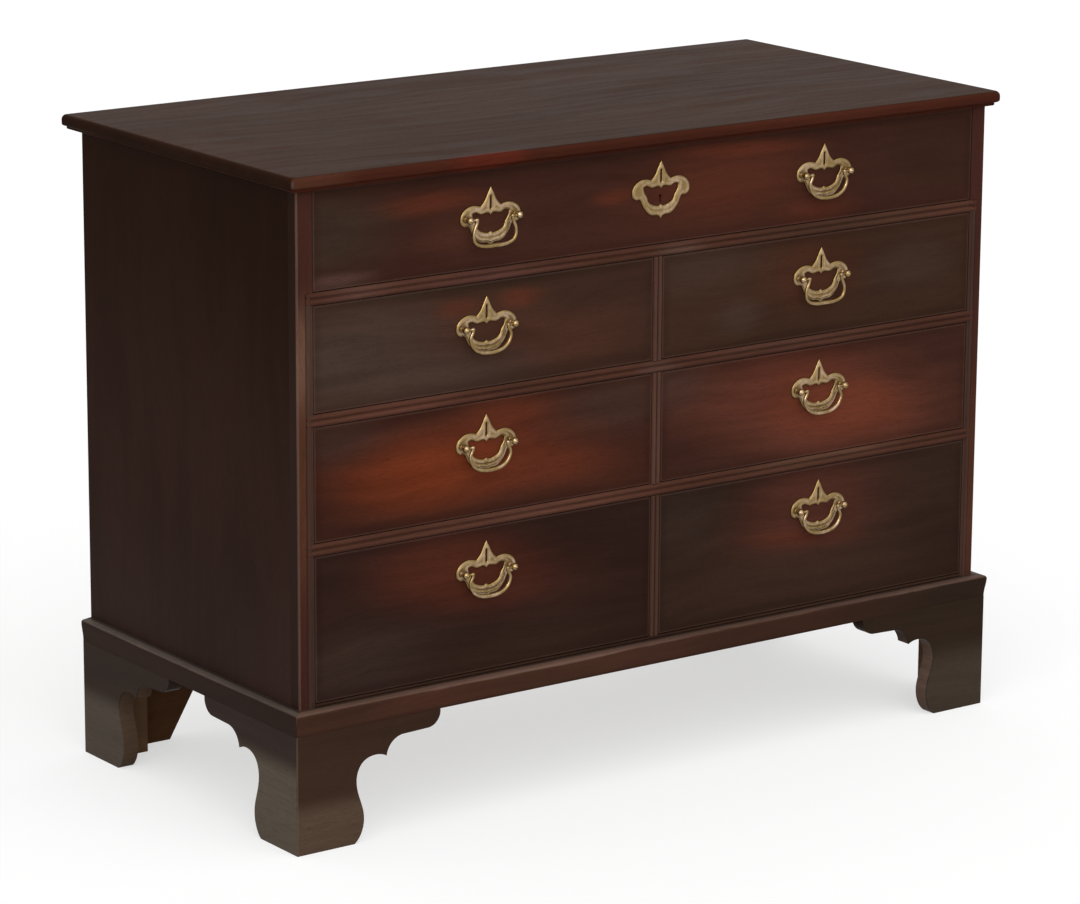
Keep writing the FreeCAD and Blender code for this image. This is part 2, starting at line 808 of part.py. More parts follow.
whole = FreeCAD.BoundBox()
for shape in PARTS.values():
    whole.add(shape.BoundBox)
print("nodes %d, size %.1f x %.1f x %.1f mm" % (len(PARTS), whole.XLength, whole.YLength, whole.ZLength))
print("middle in X %.2f, in Y %.2f, lowest %.2f" % (whole.Center.x, whole.Center.y, whole.ZMin))
for node, shape in PARTS.items():
    sound = all(solid.isValid() and solid.Volume > 0 for solid in shape.Solids)
    if not sound or not shape.Solids:
        print("unsound solid in", node)
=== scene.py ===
# %% [markdown]
# # Dressing a Georgian mahogany chest
#
# The chest is already built and jointed as a frame of solids: seven drawers, a moulded top,
# double-bead rails, a plinth and four ogee bracket feet. Blender gives it its looks: wood that
# has had two and a half centuries of wax and sunlight, cast brass that hands have rubbed, and
# the soft light of a plain studio. The frame comes in first. Nothing made here may grow out of
# that box. Everything below is in metres unless it says mm.

# %% Load the built frame
import math

import bpy
import numpy as np
from mathutils import Matrix, Vector, noise
from mathutils.geometry import delaunay_2d_cdt


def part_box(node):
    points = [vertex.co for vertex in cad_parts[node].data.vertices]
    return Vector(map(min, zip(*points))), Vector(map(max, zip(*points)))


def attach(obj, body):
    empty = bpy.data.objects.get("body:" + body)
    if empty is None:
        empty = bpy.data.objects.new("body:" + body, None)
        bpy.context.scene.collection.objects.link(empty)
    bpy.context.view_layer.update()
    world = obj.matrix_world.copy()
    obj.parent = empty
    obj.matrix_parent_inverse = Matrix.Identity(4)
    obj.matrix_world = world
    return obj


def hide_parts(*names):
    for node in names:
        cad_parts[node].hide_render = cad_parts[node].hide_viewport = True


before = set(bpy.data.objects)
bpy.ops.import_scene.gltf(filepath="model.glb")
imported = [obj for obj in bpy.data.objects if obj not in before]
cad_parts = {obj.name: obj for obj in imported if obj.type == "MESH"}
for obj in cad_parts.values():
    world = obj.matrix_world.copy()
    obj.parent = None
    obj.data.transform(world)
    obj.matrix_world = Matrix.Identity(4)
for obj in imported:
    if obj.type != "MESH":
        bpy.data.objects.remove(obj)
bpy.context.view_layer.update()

# %% [markdown]
# ## Helpers for node trees
#
# A procedural material is a chain of nodes, and so is a Geometry Nodes tree. Written out by hand,
# each node takes four or five lines, so a helper makes one node and fills or links its inputs in
# a single call. Anything that is the same all over a surface is set on the shader's own socket,
# where an exporter can find it.

# %% Node helpers


def add_node(tree, kind, inputs=None, **settings):
    """One node with its settings, its inputs filled with values or linked to other outputs."""
    node = tree.nodes.new(kind)
    for key, value in settings.items():
        setattr(node, key, value)
    for key, value in (inputs or {}).items():
        if isinstance(value, bpy.types.NodeSocket):
            tree.links.new(value, node.inputs[key])
        else:
            node.inputs[key].default_value = value
    return node


def number(tree, operation, a, b=0.0):
    """The result of one sum on two numbers or sockets."""
    return add_node(tree, "ShaderNodeMath", {0: a, 1: b}, operation=operation).outputs[0]


def weighted_sum(tree, *terms):
    """The sum of several values, each times its weight."""
    total = 0.0
    for value, weight in terms:
        total = number(tree, "ADD", number(tree, "MULTIPLY", value, weight), total)
    return total


def mix_colour(tree, amount, under, over):
    """Two colours mixed by an amount from 0 to 1."""
    node = add_node(tree, "ShaderNodeMix", {"Factor": amount}, data_type="RGBA")
    for socket, value in ((node.inputs[6], under), (node.inputs[7], over)):
        if isinstance(value, bpy.types.NodeSocket):
            tree.links.new(value, socket)
        else:
            socket.default_value = (*value, 1.0)
    return node.outputs[2]


def fade(tree, value, start, end, low=0.0, high=1.0):
    """A value spread smoothly from low at start to high at end."""
    return add_node(tree, "ShaderNodeMapRange",
                    {"Value": value, "From Min": start, "From Max": end,
                     "To Min": low, "To Max": high},
                    interpolation_type="SMOOTHSTEP").outputs["Result"]


def even_noise(tree, place, scale, detail):
    """Noise that looks the same in every direction."""
    return add_node(tree, "ShaderNodeTexNoise",
                    {"Vector": place, "Scale": scale, "Detail": detail}).outputs[0]


def new_material(name):
    """A new material with its node tree and its shader."""
    material = bpy.data.materials.new(name)
    material.use_nodes = True
    return material, material.node_tree, material.node_tree.nodes["Principled BSDF"]


def drive_shader(tree, shader, colour, roughness, height, strength, distance):
    """Link a colour, a roughness and a bump that is too fine for geometry."""
    bump = add_node(tree, "ShaderNodeBump",
                    {"Height": height, "Strength": strength, "Distance": distance})
    for socket, value in (("Base Color", colour), ("Roughness", roughness),
                          ("Normal", bump.outputs[0])):
        tree.links.new(value, shader.inputs[socket])


print("node helpers ready")

# %% [markdown]
# ## The figure of a board
#
# A sawn board shows three things at three sizes: broad clouds of darker and lighter heartwood a
# hand wide, streaks that run along the grain, and pores, the cut vessels, which are dark dashes
# a few millimetres long. An image of a board could show them, but it would repeat and blur. Here
# the same stretched noises make all three from the place of each point in the board, so that the
# figure is sharp at any distance and runs on round a corner as it does in real timber. They live
# in one node group, which every wood shares: its input is a point whose X runs along the grain.

# %% The figure as a node group


def stretched_noise(tree, vector, along, across, detail, roughness=0.55):
    """Noise drawn out along the grain, by how often it changes in a metre each way."""
    spread = add_node(tree, "ShaderNodeVectorMath", {0: vector, 1: (along, across, across)},
                      operation="MULTIPLY")
    texture = add_node(tree, "ShaderNodeTexNoise",
                       {"Vector": spread.outputs[0], "Scale": 1.0, "Detail": detail,
                        "Roughness": roughness})
    return texture.outputs[0]


def build_figure_group():
    """The group that gives clouds, streaks, fibres and pores for a point in a board."""
    group = bpy.data.node_groups.new("board_figure", "ShaderNodeTree")
    group.interface.new_socket("Point", in_out="INPUT", socket_type="NodeSocketVector")
    for name in ("Clouds", "Streaks", "Fibres", "Pores"):
        group.interface.new_socket(name, in_out="OUTPUT", socket_type="NodeSocketFloat")
    start = group.nodes.new("NodeGroupInput")
    end = group.nodes.new("NodeGroupOutput")
    wander = add_node(group, "ShaderNodeTexNoise",
                      {"Vector": start.outputs["Point"], "Scale": 2.6, "Detail": 2.0})
    centred = add_node(group, "ShaderNodeVectorMath", {0: wander.outputs[1], 1: (0.5, 0.5, 0.5)},
                       operation="SUBTRACT")
    drift = add_node(group, "ShaderNodeVectorMath", {0: centred.outputs[0], 1: (0.0, 0.09, 0.09)},
                     operation="MULTIPLY")
    point = add_node(group, "ShaderNodeVectorMath",
                     {0: start.outputs["Point"], 1: drift.outputs[0]}, operation="ADD").outputs[0]
    clouds = stretched_noise(group, point, 2.2, 7.0, 3.0)
    streaks = stretched_noise(group, point, 2.6, 62.0, 4.0, 0.60)
    fibres = stretched_noise(group, point, 26.0, 780.0, 2.0)
    vessels = stretched_noise(group, point, 75.0, 1500.0, 1.0)
    pores = fade(group, vessels, 0.60, 0.74)
    for name, value in (("Clouds", clouds), ("Streaks", streaks), ("Fibres", fibres),
                        ("Pores", pores)):
        group.links.new(value, end.inputs[name])
    return group


board_figure = build_figure_group()
print("figure group with %d nodes" % len(board_figure.nodes))

# %% [markdown]
# ## Wood
#
# Old mahogany is nearly black-brown where wax and smoke have built up, and it glows orange-red
# in islands where hands and sun have kept it clean. So a wood starts from one tone, which the
# figure makes a little darker and paler, and takes a list of glows: each is a soft oval at a
# place on the chest, ragged along the grain. The same streaks roughen the polish a little,
# because open grain scatters light. A worn wax polish is far less glassy than varnish, so the
# reflection is kept low and broad. A drawer front also takes the rectangle of its board: dirty
# wax gathers in a dark line just inside its edge, and the very edge is paler, partly rubbed and
# partly a painted highlight.

# %% The wood maker

GRAIN_TURN = {
    "x": (0.0, 0.0, 0.0),
    "y": (0.0, 0.0, math.pi / 2),
    "z": (0.0, math.pi / 2, 0.0),
    "round": (0.0, 0.0, 0.0),
}


def glow_amount(tree, place, ragged, glow):
    """How strongly one oval shows: full in its middle, nothing at its rim."""
    x, z, half_length, half_height, tilt, strength = glow[:6]
    oval = add_node(tree, "ShaderNodeMapping",
                    {"Vector": place, "Location": (x, 0.0, z), "Rotation": (0.0, -tilt, 0.0),
                     "Scale": (half_length, 1000.0, half_height)}, vector_type="TEXTURE")
    ball = add_node(tree, "ShaderNodeTexGradient", {"Vector": oval.outputs[0]},
                    gradient_type="SPHERICAL").outputs[1]
    uneven = number(tree, "ADD", ball, number(tree, "MULTIPLY", ragged, 0.16))
    return fade(tree, uneven, 0.06, 0.90, 0.0, strength)


def past_limits(tree, axes, limits):
    """1 where a point lies past every one of some limits: an axis, where it starts and ends."""
    mask = 1.0
    for axis, start, end in limits:
        value = number(tree, "ABSOLUTE", axes["X"]) if axis == "side" else axes[axis]
        mask = number(tree, "MULTIPLY", fade(tree, value, start, end), mask)
    return mask


def edge_distance(tree, axes, rectangle):
    """How far a point lies inside a board's rectangle, from the nearest edge."""
    left, right, low, high = rectangle
    across = number(tree, "MINIMUM", number(tree, "SUBTRACT", axes["X"], left),
                    number(tree, "SUBTRACT", right, axes["X"]))
    upright = number(tree, "MINIMUM", number(tree, "SUBTRACT", axes["Z"], low),
                     number(tree, "SUBTRACT", high, axes["Z"]))
    return number(tree, "MINIMUM", across, upright)


def scaled(values, share):
    """The three numbers of a colour or a place, all times one share."""
    return tuple(share * value for value in values)


# Pale colour of a rubbed edge, which also stands in for the line of light the edge catches: partly
# wear, partly a painted highlight.
WORN_ARRIS_AND_HIGHLIGHT = (0.105, 0.058, 0.046)


def edge_wear(tree, axes, rectangle, tone, colour):
    """A colour with a dark line of wax just inside a board's edge, and the edge paler, partly rubbed
    and partly a painted highlight.
    """
    inset = edge_distance(tree, axes, rectangle)
    grime = number(tree, "MULTIPLY", fade(tree, inset, 0.0016, 0.0032),
                   fade(tree, inset, 0.016, 0.003))
    colour = mix_colour(tree, number(tree, "MULTIPLY", grime, 0.22), colour, scaled(tone, 0.35))
    # The very edge made paler: partly rubbed wood, partly a painted highlight.
    rubbed_and_lit_edge = fade(tree, inset, 0.0024, 0.0012, 0.0, 0.30)
    return mix_colour(tree, rubbed_and_lit_edge, colour, WORN_ARRIS_AND_HIGHLIGHT)


SEED_STEP = (1.7, 0.61, 0.37)


def figure_at(tree, place, grain, seed):
    """Clouds, streaks, fibres and pores at a place, with the grain turned to its axis."""
    if grain == "round":
        # Both boards of a foot stand at 45 degrees to this axis, so the figure runs along each.
        place = add_node(tree, "ShaderNodeMapping",
                         {"Vector": place, "Rotation": (0.0, 0.0, math.radians(-45)),
                          "Scale": (1.0, 50.0, 1.0)}, vector_type="TEXTURE").outputs[0]
    board = add_node(tree, "ShaderNodeMapping",
                     {"Vector": place, "Location": scaled(SEED_STEP, seed),
                      "Rotation": GRAIN_TURN[grain]}).outputs[0]
    return add_node(tree, "ShaderNodeGroup", {"Point": board}, node_tree=board_figure).outputs[:4]


def wood(name, grain, tone, contrast=0.17, glows=(), bands=(), seed=0.0, rectangle=None,
         polish=0.36, lustre=0.012, pore_depth=0.35, relief_height=0.0002):
    """A board's finish with its grain along one axis, round one tone."""
    material, tree, shader = new_material(name)
    place = add_node(tree, "ShaderNodeTexCoord").outputs["Object"]
    axes = dict(zip("XYZ", add_node(tree, "ShaderNodeSeparateXYZ", {"Vector": place}).outputs))
    clouds, streaks, fibres, pores = figure_at(tree, place, grain, seed)
    ragged = number(tree, "ADD", number(tree, "SUBTRACT", streaks, 0.5),
                    number(tree, "SUBTRACT", clouds, 0.5))
    colour = tone
    for glow in glows:
        colour = mix_colour(tree, glow_amount(tree, place, ragged, glow), colour, glow[6])
    for limits, strength, over, wander in bands:
        moved = {axis: number(tree, "ADD", value, number(tree, "MULTIPLY", ragged, wander))
                 for axis, value in axes.items()} if wander else axes
        share = number(tree, "MULTIPLY", past_limits(tree, moved, limits), strength)
        colour = mix_colour(tree, share, colour, over)
    shade = weighted_sum(tree, (fade(tree, streaks, 0.25, 0.75), 0.45),
                         (fade(tree, clouds, 0.30, 0.72), 0.55))
    figured = fade(tree, shade, 0.0, 1.0, 1 - contrast, 1 + contrast)
    colour = add_node(tree, "ShaderNodeVectorMath", {0: colour, "Scale": figured},
                      operation="SCALE").outputs[0]
    if rectangle:
        colour = edge_wear(tree, axes, rectangle, tone, colour)
    colour = mix_colour(tree, fade(tree, fibres, 0.30, 0.80, 0.0, 0.22), colour,
                        scaled(tone, 0.6))
    colour = mix_colour(tree, number(tree, "MULTIPLY", pores, pore_depth), colour,
                        scaled(tone, 0.3))
    rough = number(tree, "ADD", fade(tree, streaks, 0.3, 0.8, polish - 0.05, polish + 0.08),
                   number(tree, "MULTIPLY", pores, 0.15))
    relief = weighted_sum(tree, (pores, -0.6), (fibres, 0.20), (streaks, 0.35))
    drive_shader(tree, shader, colour, rough, relief, 0.25, relief_height)
    shader.inputs["Specular IOR Level"].default_value = lustre
    return material


print("wood maker ready")

# %% [markdown]
# ## The mahogany of the seven drawers
#
# One plank seldom makes a whole chest, so every drawer front has its own board: its own tone,
# another place in the figure, and its own glows. The two middle drawers were cut from the finest
# wood and are the reddest. Old wax darkens the corners that no hand reaches and greys where it
# has bloomed, so the same ovals serve for dark and grey places too. A glow is written as x, z,
# half length, half height, tilt, strength and colour.

# %% Mahogany finishes of the drawer fronts

ORANGE = (0.190, 0.036, 0.010)
RED = (0.125, 0.028, 0.013)
DULL_RED = (0.085, 0.030, 0.018)
DARK_WAX = (0.018, 0.014, 0.008)
GREY_WAX = (0.066, 0.044, 0.034)

FRONT_BOARDS = {
    # One long board: two reddish islands between dark ends, and a red line under the top.
    "top_drawer": (0.3, (0.046, 0.017, 0.011), [
        (-0.34, 0.772, 0.12, 0.022, 0.00, 0.6, RED),
        (-0.28, 0.735, 0.12, 0.050, 0.00, 0.5, DULL_RED),
        (-0.07, 0.750, 0.05, 0.015, 0.00, 0.5, RED),
        (0.10, 0.750, 0.22, 0.080, 0.00, 0.4, RED),
        (0.13, 0.790, 0.18, 0.015, -0.05, 0.5, RED),
        (0.25, 0.700, 0.10, 0.030, 0.00, 0.4, RED),
        (0.46, 0.750, 0.22, 0.090, 0.00, 0.3, DARK_WAX),
        (-0.49, 0.750, 0.16, 0.090, 0.00, 0.7, (0.038, 0.027, 0.018)),
        (-0.47, 0.693, 0.08, 0.015, 0.00, 0.8, (0.100, 0.050, 0.040))]),
    # Grey with bloomed wax at the left, and red only where fingers meet the spike.
    "upper_left_drawer": (1.1, (0.048, 0.022, 0.014), [
        (-0.47, 0.600, 0.24, 0.110, 0.00, 0.7, GREY_WAX),
        (-0.30, 0.560, 0.20, 0.050, 0.00, 0.5, GREY_WAX),
        (-0.25, 0.670, 0.40, 0.020, 0.00, 0.6, DARK_WAX),
        (-0.25, 0.610, 0.14, 0.060, 0.00, 0.3, DULL_RED),
        (-0.30, 0.640, 0.05, 0.018, 0.00, 0.4, RED),
        (-0.21, 0.643, 0.05, 0.020, 0.00, 0.5, RED),
        (-0.12, 0.580, 0.16, 0.060, 0.00, 0.4, DULL_RED)]),
    # The dullest board, with two grey clouds.
    "upper_right_drawer": (2.3, (0.043, 0.020, 0.012), [
        (0.07, 0.650, 0.15, 0.060, 0.00, 0.3, GREY_WAX),
        (0.13, 0.575, 0.06, 0.035, 0.00, 0.4, GREY_WAX),
        (0.25, 0.620, 0.14, 0.080, 0.00, 0.2, RED),
        (0.41, 0.610, 0.12, 0.050, 0.00, 0.4, GREY_WAX)]),
    # The finest board: a long orange island, grey above its two ends.
    "middle_left_drawer": (3.7, (0.045, 0.016, 0.010), [
        (-0.30, 0.450, 0.30, 0.085, 0.00, 0.8, RED),
        (-0.34, 0.442, 0.20, 0.070, 0.00, 0.6, ORANGE),
        (-0.23, 0.500, 0.12, 0.040, 0.00, 0.6, RED),
        (-0.18, 0.425, 0.20, 0.045, -0.10, 0.5, RED),
        (-0.48, 0.500, 0.12, 0.050, 0.00, 0.3, GREY_WAX),
        (-0.06, 0.490, 0.16, 0.060, 0.00, 0.3, GREY_WAX)]),
    # Its neighbour from the same plank: one red island that falls to the right.
    "middle_right_drawer": (4.9, (0.047, 0.018, 0.012), [
        (0.25, 0.450, 0.32, 0.110, -0.15, 1.0, (0.120, 0.036, 0.022)),
        (0.29, 0.440, 0.20, 0.070, -0.15, 0.3, ORANGE),
        (0.24, 0.500, 0.14, 0.040, 0.00, 0.3, RED),
        (0.03, 0.500, 0.10, 0.050, 0.00, 0.3, GREY_WAX)]),
    # Dark boards near the floor, warm only round their handles.
    "lower_left_drawer": (6.1, (0.027, 0.012, 0.009), [
        (-0.30, 0.315, 0.20, 0.080, -0.10, 0.5, RED),
        (-0.18, 0.285, 0.16, 0.060, 0.00, 0.1, RED),
        (-0.45, 0.220, 0.22, 0.080, 0.00, 0.3, GREY_WAX),
        (-0.20, 0.200, 0.28, 0.060, 0.00, 0.5, (0.040, 0.021, 0.014))]),
    "lower_right_drawer": (7.7, (0.030, 0.015, 0.010), [
        (0.25, 0.315, 0.20, 0.110, 0.00, 0.6, (0.115, 0.034, 0.022)),
        (0.24, 0.272, 0.14, 0.020, -0.10, 0.5, RED),
        (0.05, 0.330, 0.12, 0.080, 0.00, 0.2, GREY_WAX),
        (0.44, 0.320, 0.20, 0.090, 0.00, 0.3, (0.040, 0.021, 0.014)),
        (0.22, 0.220, 0.34, 0.080, 0.00, 0.8, (0.042, 0.021, 0.014))]),
}

front_finishes = {}
for drawer, (seed, tone, glows) in FRONT_BOARDS.items():
    low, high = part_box(drawer + "_front")
    front_finishes[drawer] = wood("mahogany_" + drawer, "x", tone, glows=glows, seed=seed,
                                  rectangle=(low.x, high.x, low.z, high.z))
print("%d drawer fronts, each with its own board" % len(front_finishes))

# %% [markdown]
# ## The mahogany of the case
#
# The rails and posts between the drawers are the most rubbed, so they are palest. The stiles are
# orange. Their outer corner and the shelf of the plinth, where dusters run along, carry a thin pink
# line, partly worn wood and partly a painted highlight. The sides are calmer, and their colour
# turns paler and greyer towards the floor, a painted reflection of the pale floor. The feet have
# been kicked and mopped for two hundred years, and their lower halves are paler olive grey, partly
# bleached wood and partly a painted reflection of the floor. All these follow from where a point
# lies, so a wood takes bands too: limits on the axes, a strength, a colour, and how far the band's
# edge wanders. Horizontal parts have their grain along X, sides and posts upright, the mouldings
# along their own length, and the feet round their mitred corner.

# %% Mahogany of the case, and the plain woods inside

RAIL_TONE = (0.0770, 0.0310, 0.0200)
STILE_ORANGE = (0.1050, 0.0400, 0.0200)
# Pale pink for thin lines on corners and the plinth shelf: partly worn wood, partly a painted
# highlight.
WORN_PINK_AND_HIGHLIGHT = (0.1500, 0.0900, 0.0680)
FOOT_TAN = (0.0900, 0.0580, 0.0390)
FOOT_GREY = (0.1080, 0.0870, 0.0640)
# Painted light: a pale colour for the far foot's cut edges, which stand in shade.
FOOT_EDGE_PAINTED_LIGHT = (0.1500, 0.0950, 0.0700)
ROUGH_INSIDE = (0.1000, 0.0450, 0.0200)

mahogany_rails = wood("mahogany_rails", "x", RAIL_TONE, contrast=0.26, seed=8.3, glows=[
    (-0.440, 0.678, 0.080, 0.020, 0.0, 0.6, (0.125, 0.060, 0.045)),
    (-0.250, 0.674, 0.160, 0.014, 0.0, 0.4, (0.110, 0.048, 0.040)),
    (0.030, 0.672, 0.060, 0.016, 0.0, 0.6, (0.125, 0.070, 0.052)),
    (0.300, 0.676, 0.250, 0.020, 0.0, 0.5, (0.082, 0.042, 0.026)),
    (-0.330, 0.526, 0.180, 0.014, 0.0, 0.5, (0.115, 0.044, 0.030)),
    (0.200, 0.533, 0.220, 0.012, 0.0, 0.5, (0.110, 0.052, 0.036)),
    (0.000, 0.527, 0.050, 0.016, 0.0, 0.5, (0.120, 0.064, 0.050)),
    (-0.150, 0.372, 0.200, 0.016, 0.0, 0.4, (0.112, 0.046, 0.032)),
    (0.260, 0.376, 0.200, 0.012, 0.0, 0.5, (0.105, 0.054, 0.034))],
    bands=[([("Z", 0.20, 0.19)], 1.0, (0.0310, 0.0160, 0.0105), 0.0)])
mahogany_posts = wood("mahogany_posts", "z", (0.0880, 0.0420, 0.0300), seed=11.3,
                      bands=[([("Z", 0.385, 0.360)], 0.9, (0.0600, 0.0290, 0.0195), 0.0)])
mahogany_stiles = wood(
    "mahogany_stiles", "z", (0.0540, 0.0190, 0.0135), seed=11.9,
    glows=[(-0.523, 0.600, 0.050, 0.110, 0.0, 0.9, (0.155, 0.080, 0.050)),
           (-0.525, 0.430, 0.050, 0.200, 0.0, 0.8, STILE_ORANGE),
           (0.525, 0.300, 0.040, 0.260, 0.0, 0.4, STILE_ORANGE)],
    bands=[([("Y", -0.2455, -0.2440)], 1.0, (0.0190, 0.0070, 0.0030), 0.0),
           # Painted reflection of the floor: the stiles' outer face turns paler lower down, as the
           # sides do.
           ([("Y", -0.2455, -0.2440), ("Z", 0.78, 0.42)], 1.0, (0.0300, 0.0150, 0.0110), 0.0),
           ([("side", 0.5190, 0.5172), ("Z", 0.674, 0.668)], 0.7, (0.0600, 0.0350, 0.0270), 0.0),
           # The stiles' outer corner: a thin pale line, partly wear and partly a painted highlight.
           ([("side", 0.5272, 0.5287), ("Y", -0.2440, -0.2455)], 0.6, WORN_PINK_AND_HIGHLIGHT, 0.0)])
mahogany_top = wood(
    "mahogany_top", "x", (0.0389, 0.0161, 0.0085), contrast=0.14, seed=9.1, lustre=0.003,
    polish=0.34, relief_height=0.00006,
    bands=[([("Y", -0.2470, -0.2485), ("Z", 0.8249, 0.8238)], 1.0, (0.0600, 0.0165, 0.0095), 0.0),
           ([("Y", -0.2570, -0.2600), ("X", -0.340, -0.290), ("X", -0.200, -0.240)], 0.7,
            (0.1150, 0.0200, 0.0110), 0.03),
           ([("Y", -0.2570, -0.2600), ("X", -0.440, -0.500)], 0.6, (0.0850, 0.0330, 0.0190), 0.0),
           ([("side", 0.5400, 0.5440), ("Y", -0.2630, -0.2600)], 0.9, (0.0205, 0.0090, 0.0055), 0.0),
           # Painted highlight: a pale spot on the top's front corners, where the rounded nose
           # catches a glint.
           ([("side", 0.5405, 0.5450), ("Y", -0.2575, -0.2620)], 0.8, (0.2600, 0.2100, 0.1950),
            0.0)])
mahogany_side = wood(
    "mahogany_side", "z", (0.0185, 0.0062, 0.0024), seed=10.7, lustre=0.008,
    # Painted reflection of the pale floor: the side turns paler and greyer in two steps towards the
    # floor.
    bands=[([("Z", 0.78, 0.42)], 1.0, (0.0300, 0.0135, 0.0090), 0.06),
           ([("Z", 0.42, 0.20)], 0.85, (0.0365, 0.0200, 0.0158), 0.06)])
mahogany_plinth = wood(
    "mahogany_plinth", "x", (0.0535, 0.0235, 0.0145), seed=13.1,
    glows=[(-0.34, 0.162, 0.14, 0.04, 0.0, 0.7, (0.0780, 0.0300, 0.0200)),
           (-0.02, 0.160, 0.16, 0.04, 0.0, 0.5, (0.0690, 0.0290, 0.0190)),
           (0.52, 0.165, 0.34, 0.30, 0.0, 1.0, (0.0270, 0.0165, 0.0110))],
    # Painted shadow: the moulding's lower edge, under its swell, is darkened.
    bands=[([("Z", 0.1548, 0.1505)], 0.45, (0.0270, 0.0130, 0.0085), 0.0),
           # The shelf of the front moulding and its corner: a pale line, partly wear and partly a
           # painted highlight.
           ([("Z", 0.1738, 0.1758)], 0.72, WORN_PINK_AND_HIGHLIGHT, 0.005),
           ([("side", 0.5428, 0.5441), ("Y", -0.2588, -0.2603)], 0.45, WORN_PINK_AND_HIGHLIGHT, 0.0),
           ([("Z", 0.1760, 0.1770), ("Y", -0.2540, -0.2500)], 0.8, (0.030, 0.018, 0.013), 0.0)])
mahogany_plinth_side = wood(
    "mahogany_plinth_side", "y", (0.0310, 0.0165, 0.0120), seed=12.4,
    # The shelf of the side moulding: a pale line, partly wear and partly a painted highlight.
    bands=[([("Z", 0.1742, 0.1762)], 0.75, (0.1350, 0.1050, 0.0880), 0.003),
           ([("Z", 0.1760, 0.1770), ("side", 0.5370, 0.5330)], 0.8, (0.024, 0.016, 0.013), 0.0)])
FLANK = ("Y", -0.2575, -0.2555)
inside_foot = ([("Y", 0.2180, 0.2210), ("side", 0.5255, 0.5235)], 1.0, ROUGH_INSIDE, 0.0)
mahogany_feet = wood(
    "mahogany_feet", "round", (0.0430, 0.0225, 0.0140), contrast=0.14, seed=12.9,
    # The paler, greyer bands low on the foot are partly bleached wood and partly a painted
    # reflection of the floor.
    bands=[([("Z", 0.072, 0.044)], 0.90, FOOT_TAN, 0.005),
           ([FLANK], 1.0, (0.0390, 0.0255, 0.0215), 0.0),
           ([FLANK, ("Y", 0.00, -0.10), ("Z", 0.122, 0.090)], 1.0, FOOT_GREY, 0.006),
           ([FLANK, ("Y", 0.00, 0.10)], 0.75, (0.036, 0.024, 0.018), 0.0),
           ([FLANK, ("Y", 0.00, 0.10), ("Z", 0.098, 0.068)], 0.9, (0.092, 0.073, 0.056), 0.006),
           # Painted light: the rear foot's cut edges, which face away from the light, are lightened.
           ([("Y", 0.05, 0.10), ("side", 0.5412, 0.5395)], 0.9, (0.090, 0.054, 0.034), 0.0),
           # The foot's corner arris: a pale line, partly wear and partly a painted highlight.
           ([("side", 0.5398, 0.5412), ("Y", -0.2568, -0.2582)], 0.5, WORN_PINK_AND_HIGHLIGHT, 0.0),
           inside_foot])
mahogany_far_foot = wood(
    "mahogany_far_foot", "round", (0.0280, 0.0165, 0.0105), contrast=0.14, seed=14.2,
    # Paler lower part: partly bleached wood, partly a painted reflection of the floor.
    bands=[([("Z", 0.105, 0.055)], 0.95, (0.0530, 0.0385, 0.0280), 0.012),
           # Painted light: the far foot's cut edges, which stand in shade, are lightened.
           ([FLANK, ("side", 0.5405, 0.5390), ("Z", 0.125, 0.095)], 0.9, FOOT_EDGE_PAINTED_LIGHT, 0.004),
           inside_foot])
oak_lining = wood("oak_lining", "y", (0.2350, 0.1380, 0.0640), contrast=0.26, seed=13.8,
                  polish=0.60, lustre=0.15, pore_depth=0.6)
pine_inside = wood("pine_inside", "x", (0.2500, 0.1500, 0.0700), contrast=0.32, seed=15.2,
                   polish=0.65, lustre=0.12, pore_depth=0.25)
pine_blocks = wood("pine_blocks", "x", (0.1550, 0.0850, 0.0450), contrast=0.30, seed=15.9,
                   polish=0.65, lustre=0.05, pore_depth=0.25)
pine_back = wood("pine_back", "z", (0.1600, 0.1000, 0.0560), contrast=0.28, seed=16.6,
                 polish=0.75, lustre=0.10, pore_depth=0.3)
print("%d woods" % len([m for m in bpy.data.materials if m.node_tree]))

# %% Finish of each wooden node


def give(finish, *nodes):
    """Give a finish to nodes of the frame."""
    for name in nodes:
        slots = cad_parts[name].data.materials
        slots.clear()
        slots.append(finish)


give(mahogany_top, "top_board")
give(mahogany_side, "left_side", "right_side")
give(mahogany_stiles, "front_stiles")
give(mahogany_posts, "centre_posts")
give(mahogany_rails, "upper_rail", "middle_rail", "lower_rail", "bottom_rail")
give(mahogany_feet, "front_left_foot", "rear_left_foot")
give(mahogany_far_foot, "front_right_foot", "rear_right_foot")
give(pine_blocks, "glue_blocks")
give(pine_inside, "bottom_board", "top_frame", "upper_dustboard", "middle_dustboard",
     "lower_dustboard")
give(pine_back, "back_boards")
for drawer, finish in front_finishes.items():
    give(finish, drawer + "_front")
    give(oak_lining, drawer + "_box", drawer + "_bottom")
print("finishes given")

# %% [markdown]
# ## Softened edges
#
# No edge of an old chest is a knife edge: hands, dusters and knees have rounded them all, and a
# rounded edge catches a line of light that tells the eye how big the thing is. Rounding them in
# the solids would cost thousands of faces, so modifiers do it here. Weld joins the loose
# triangles, Decimate merges the flat ones, Bevel rounds what is sharper than 35 degrees, and
# Weighted Normal keeps the flats flat.

# %% Softened edges


EDGE_WIDTH = 0.0007
JOINT_WIDTH = 0.00025
LOCK_WIDTH = 0.0004
MOULDING_WIDTH = 0.0005


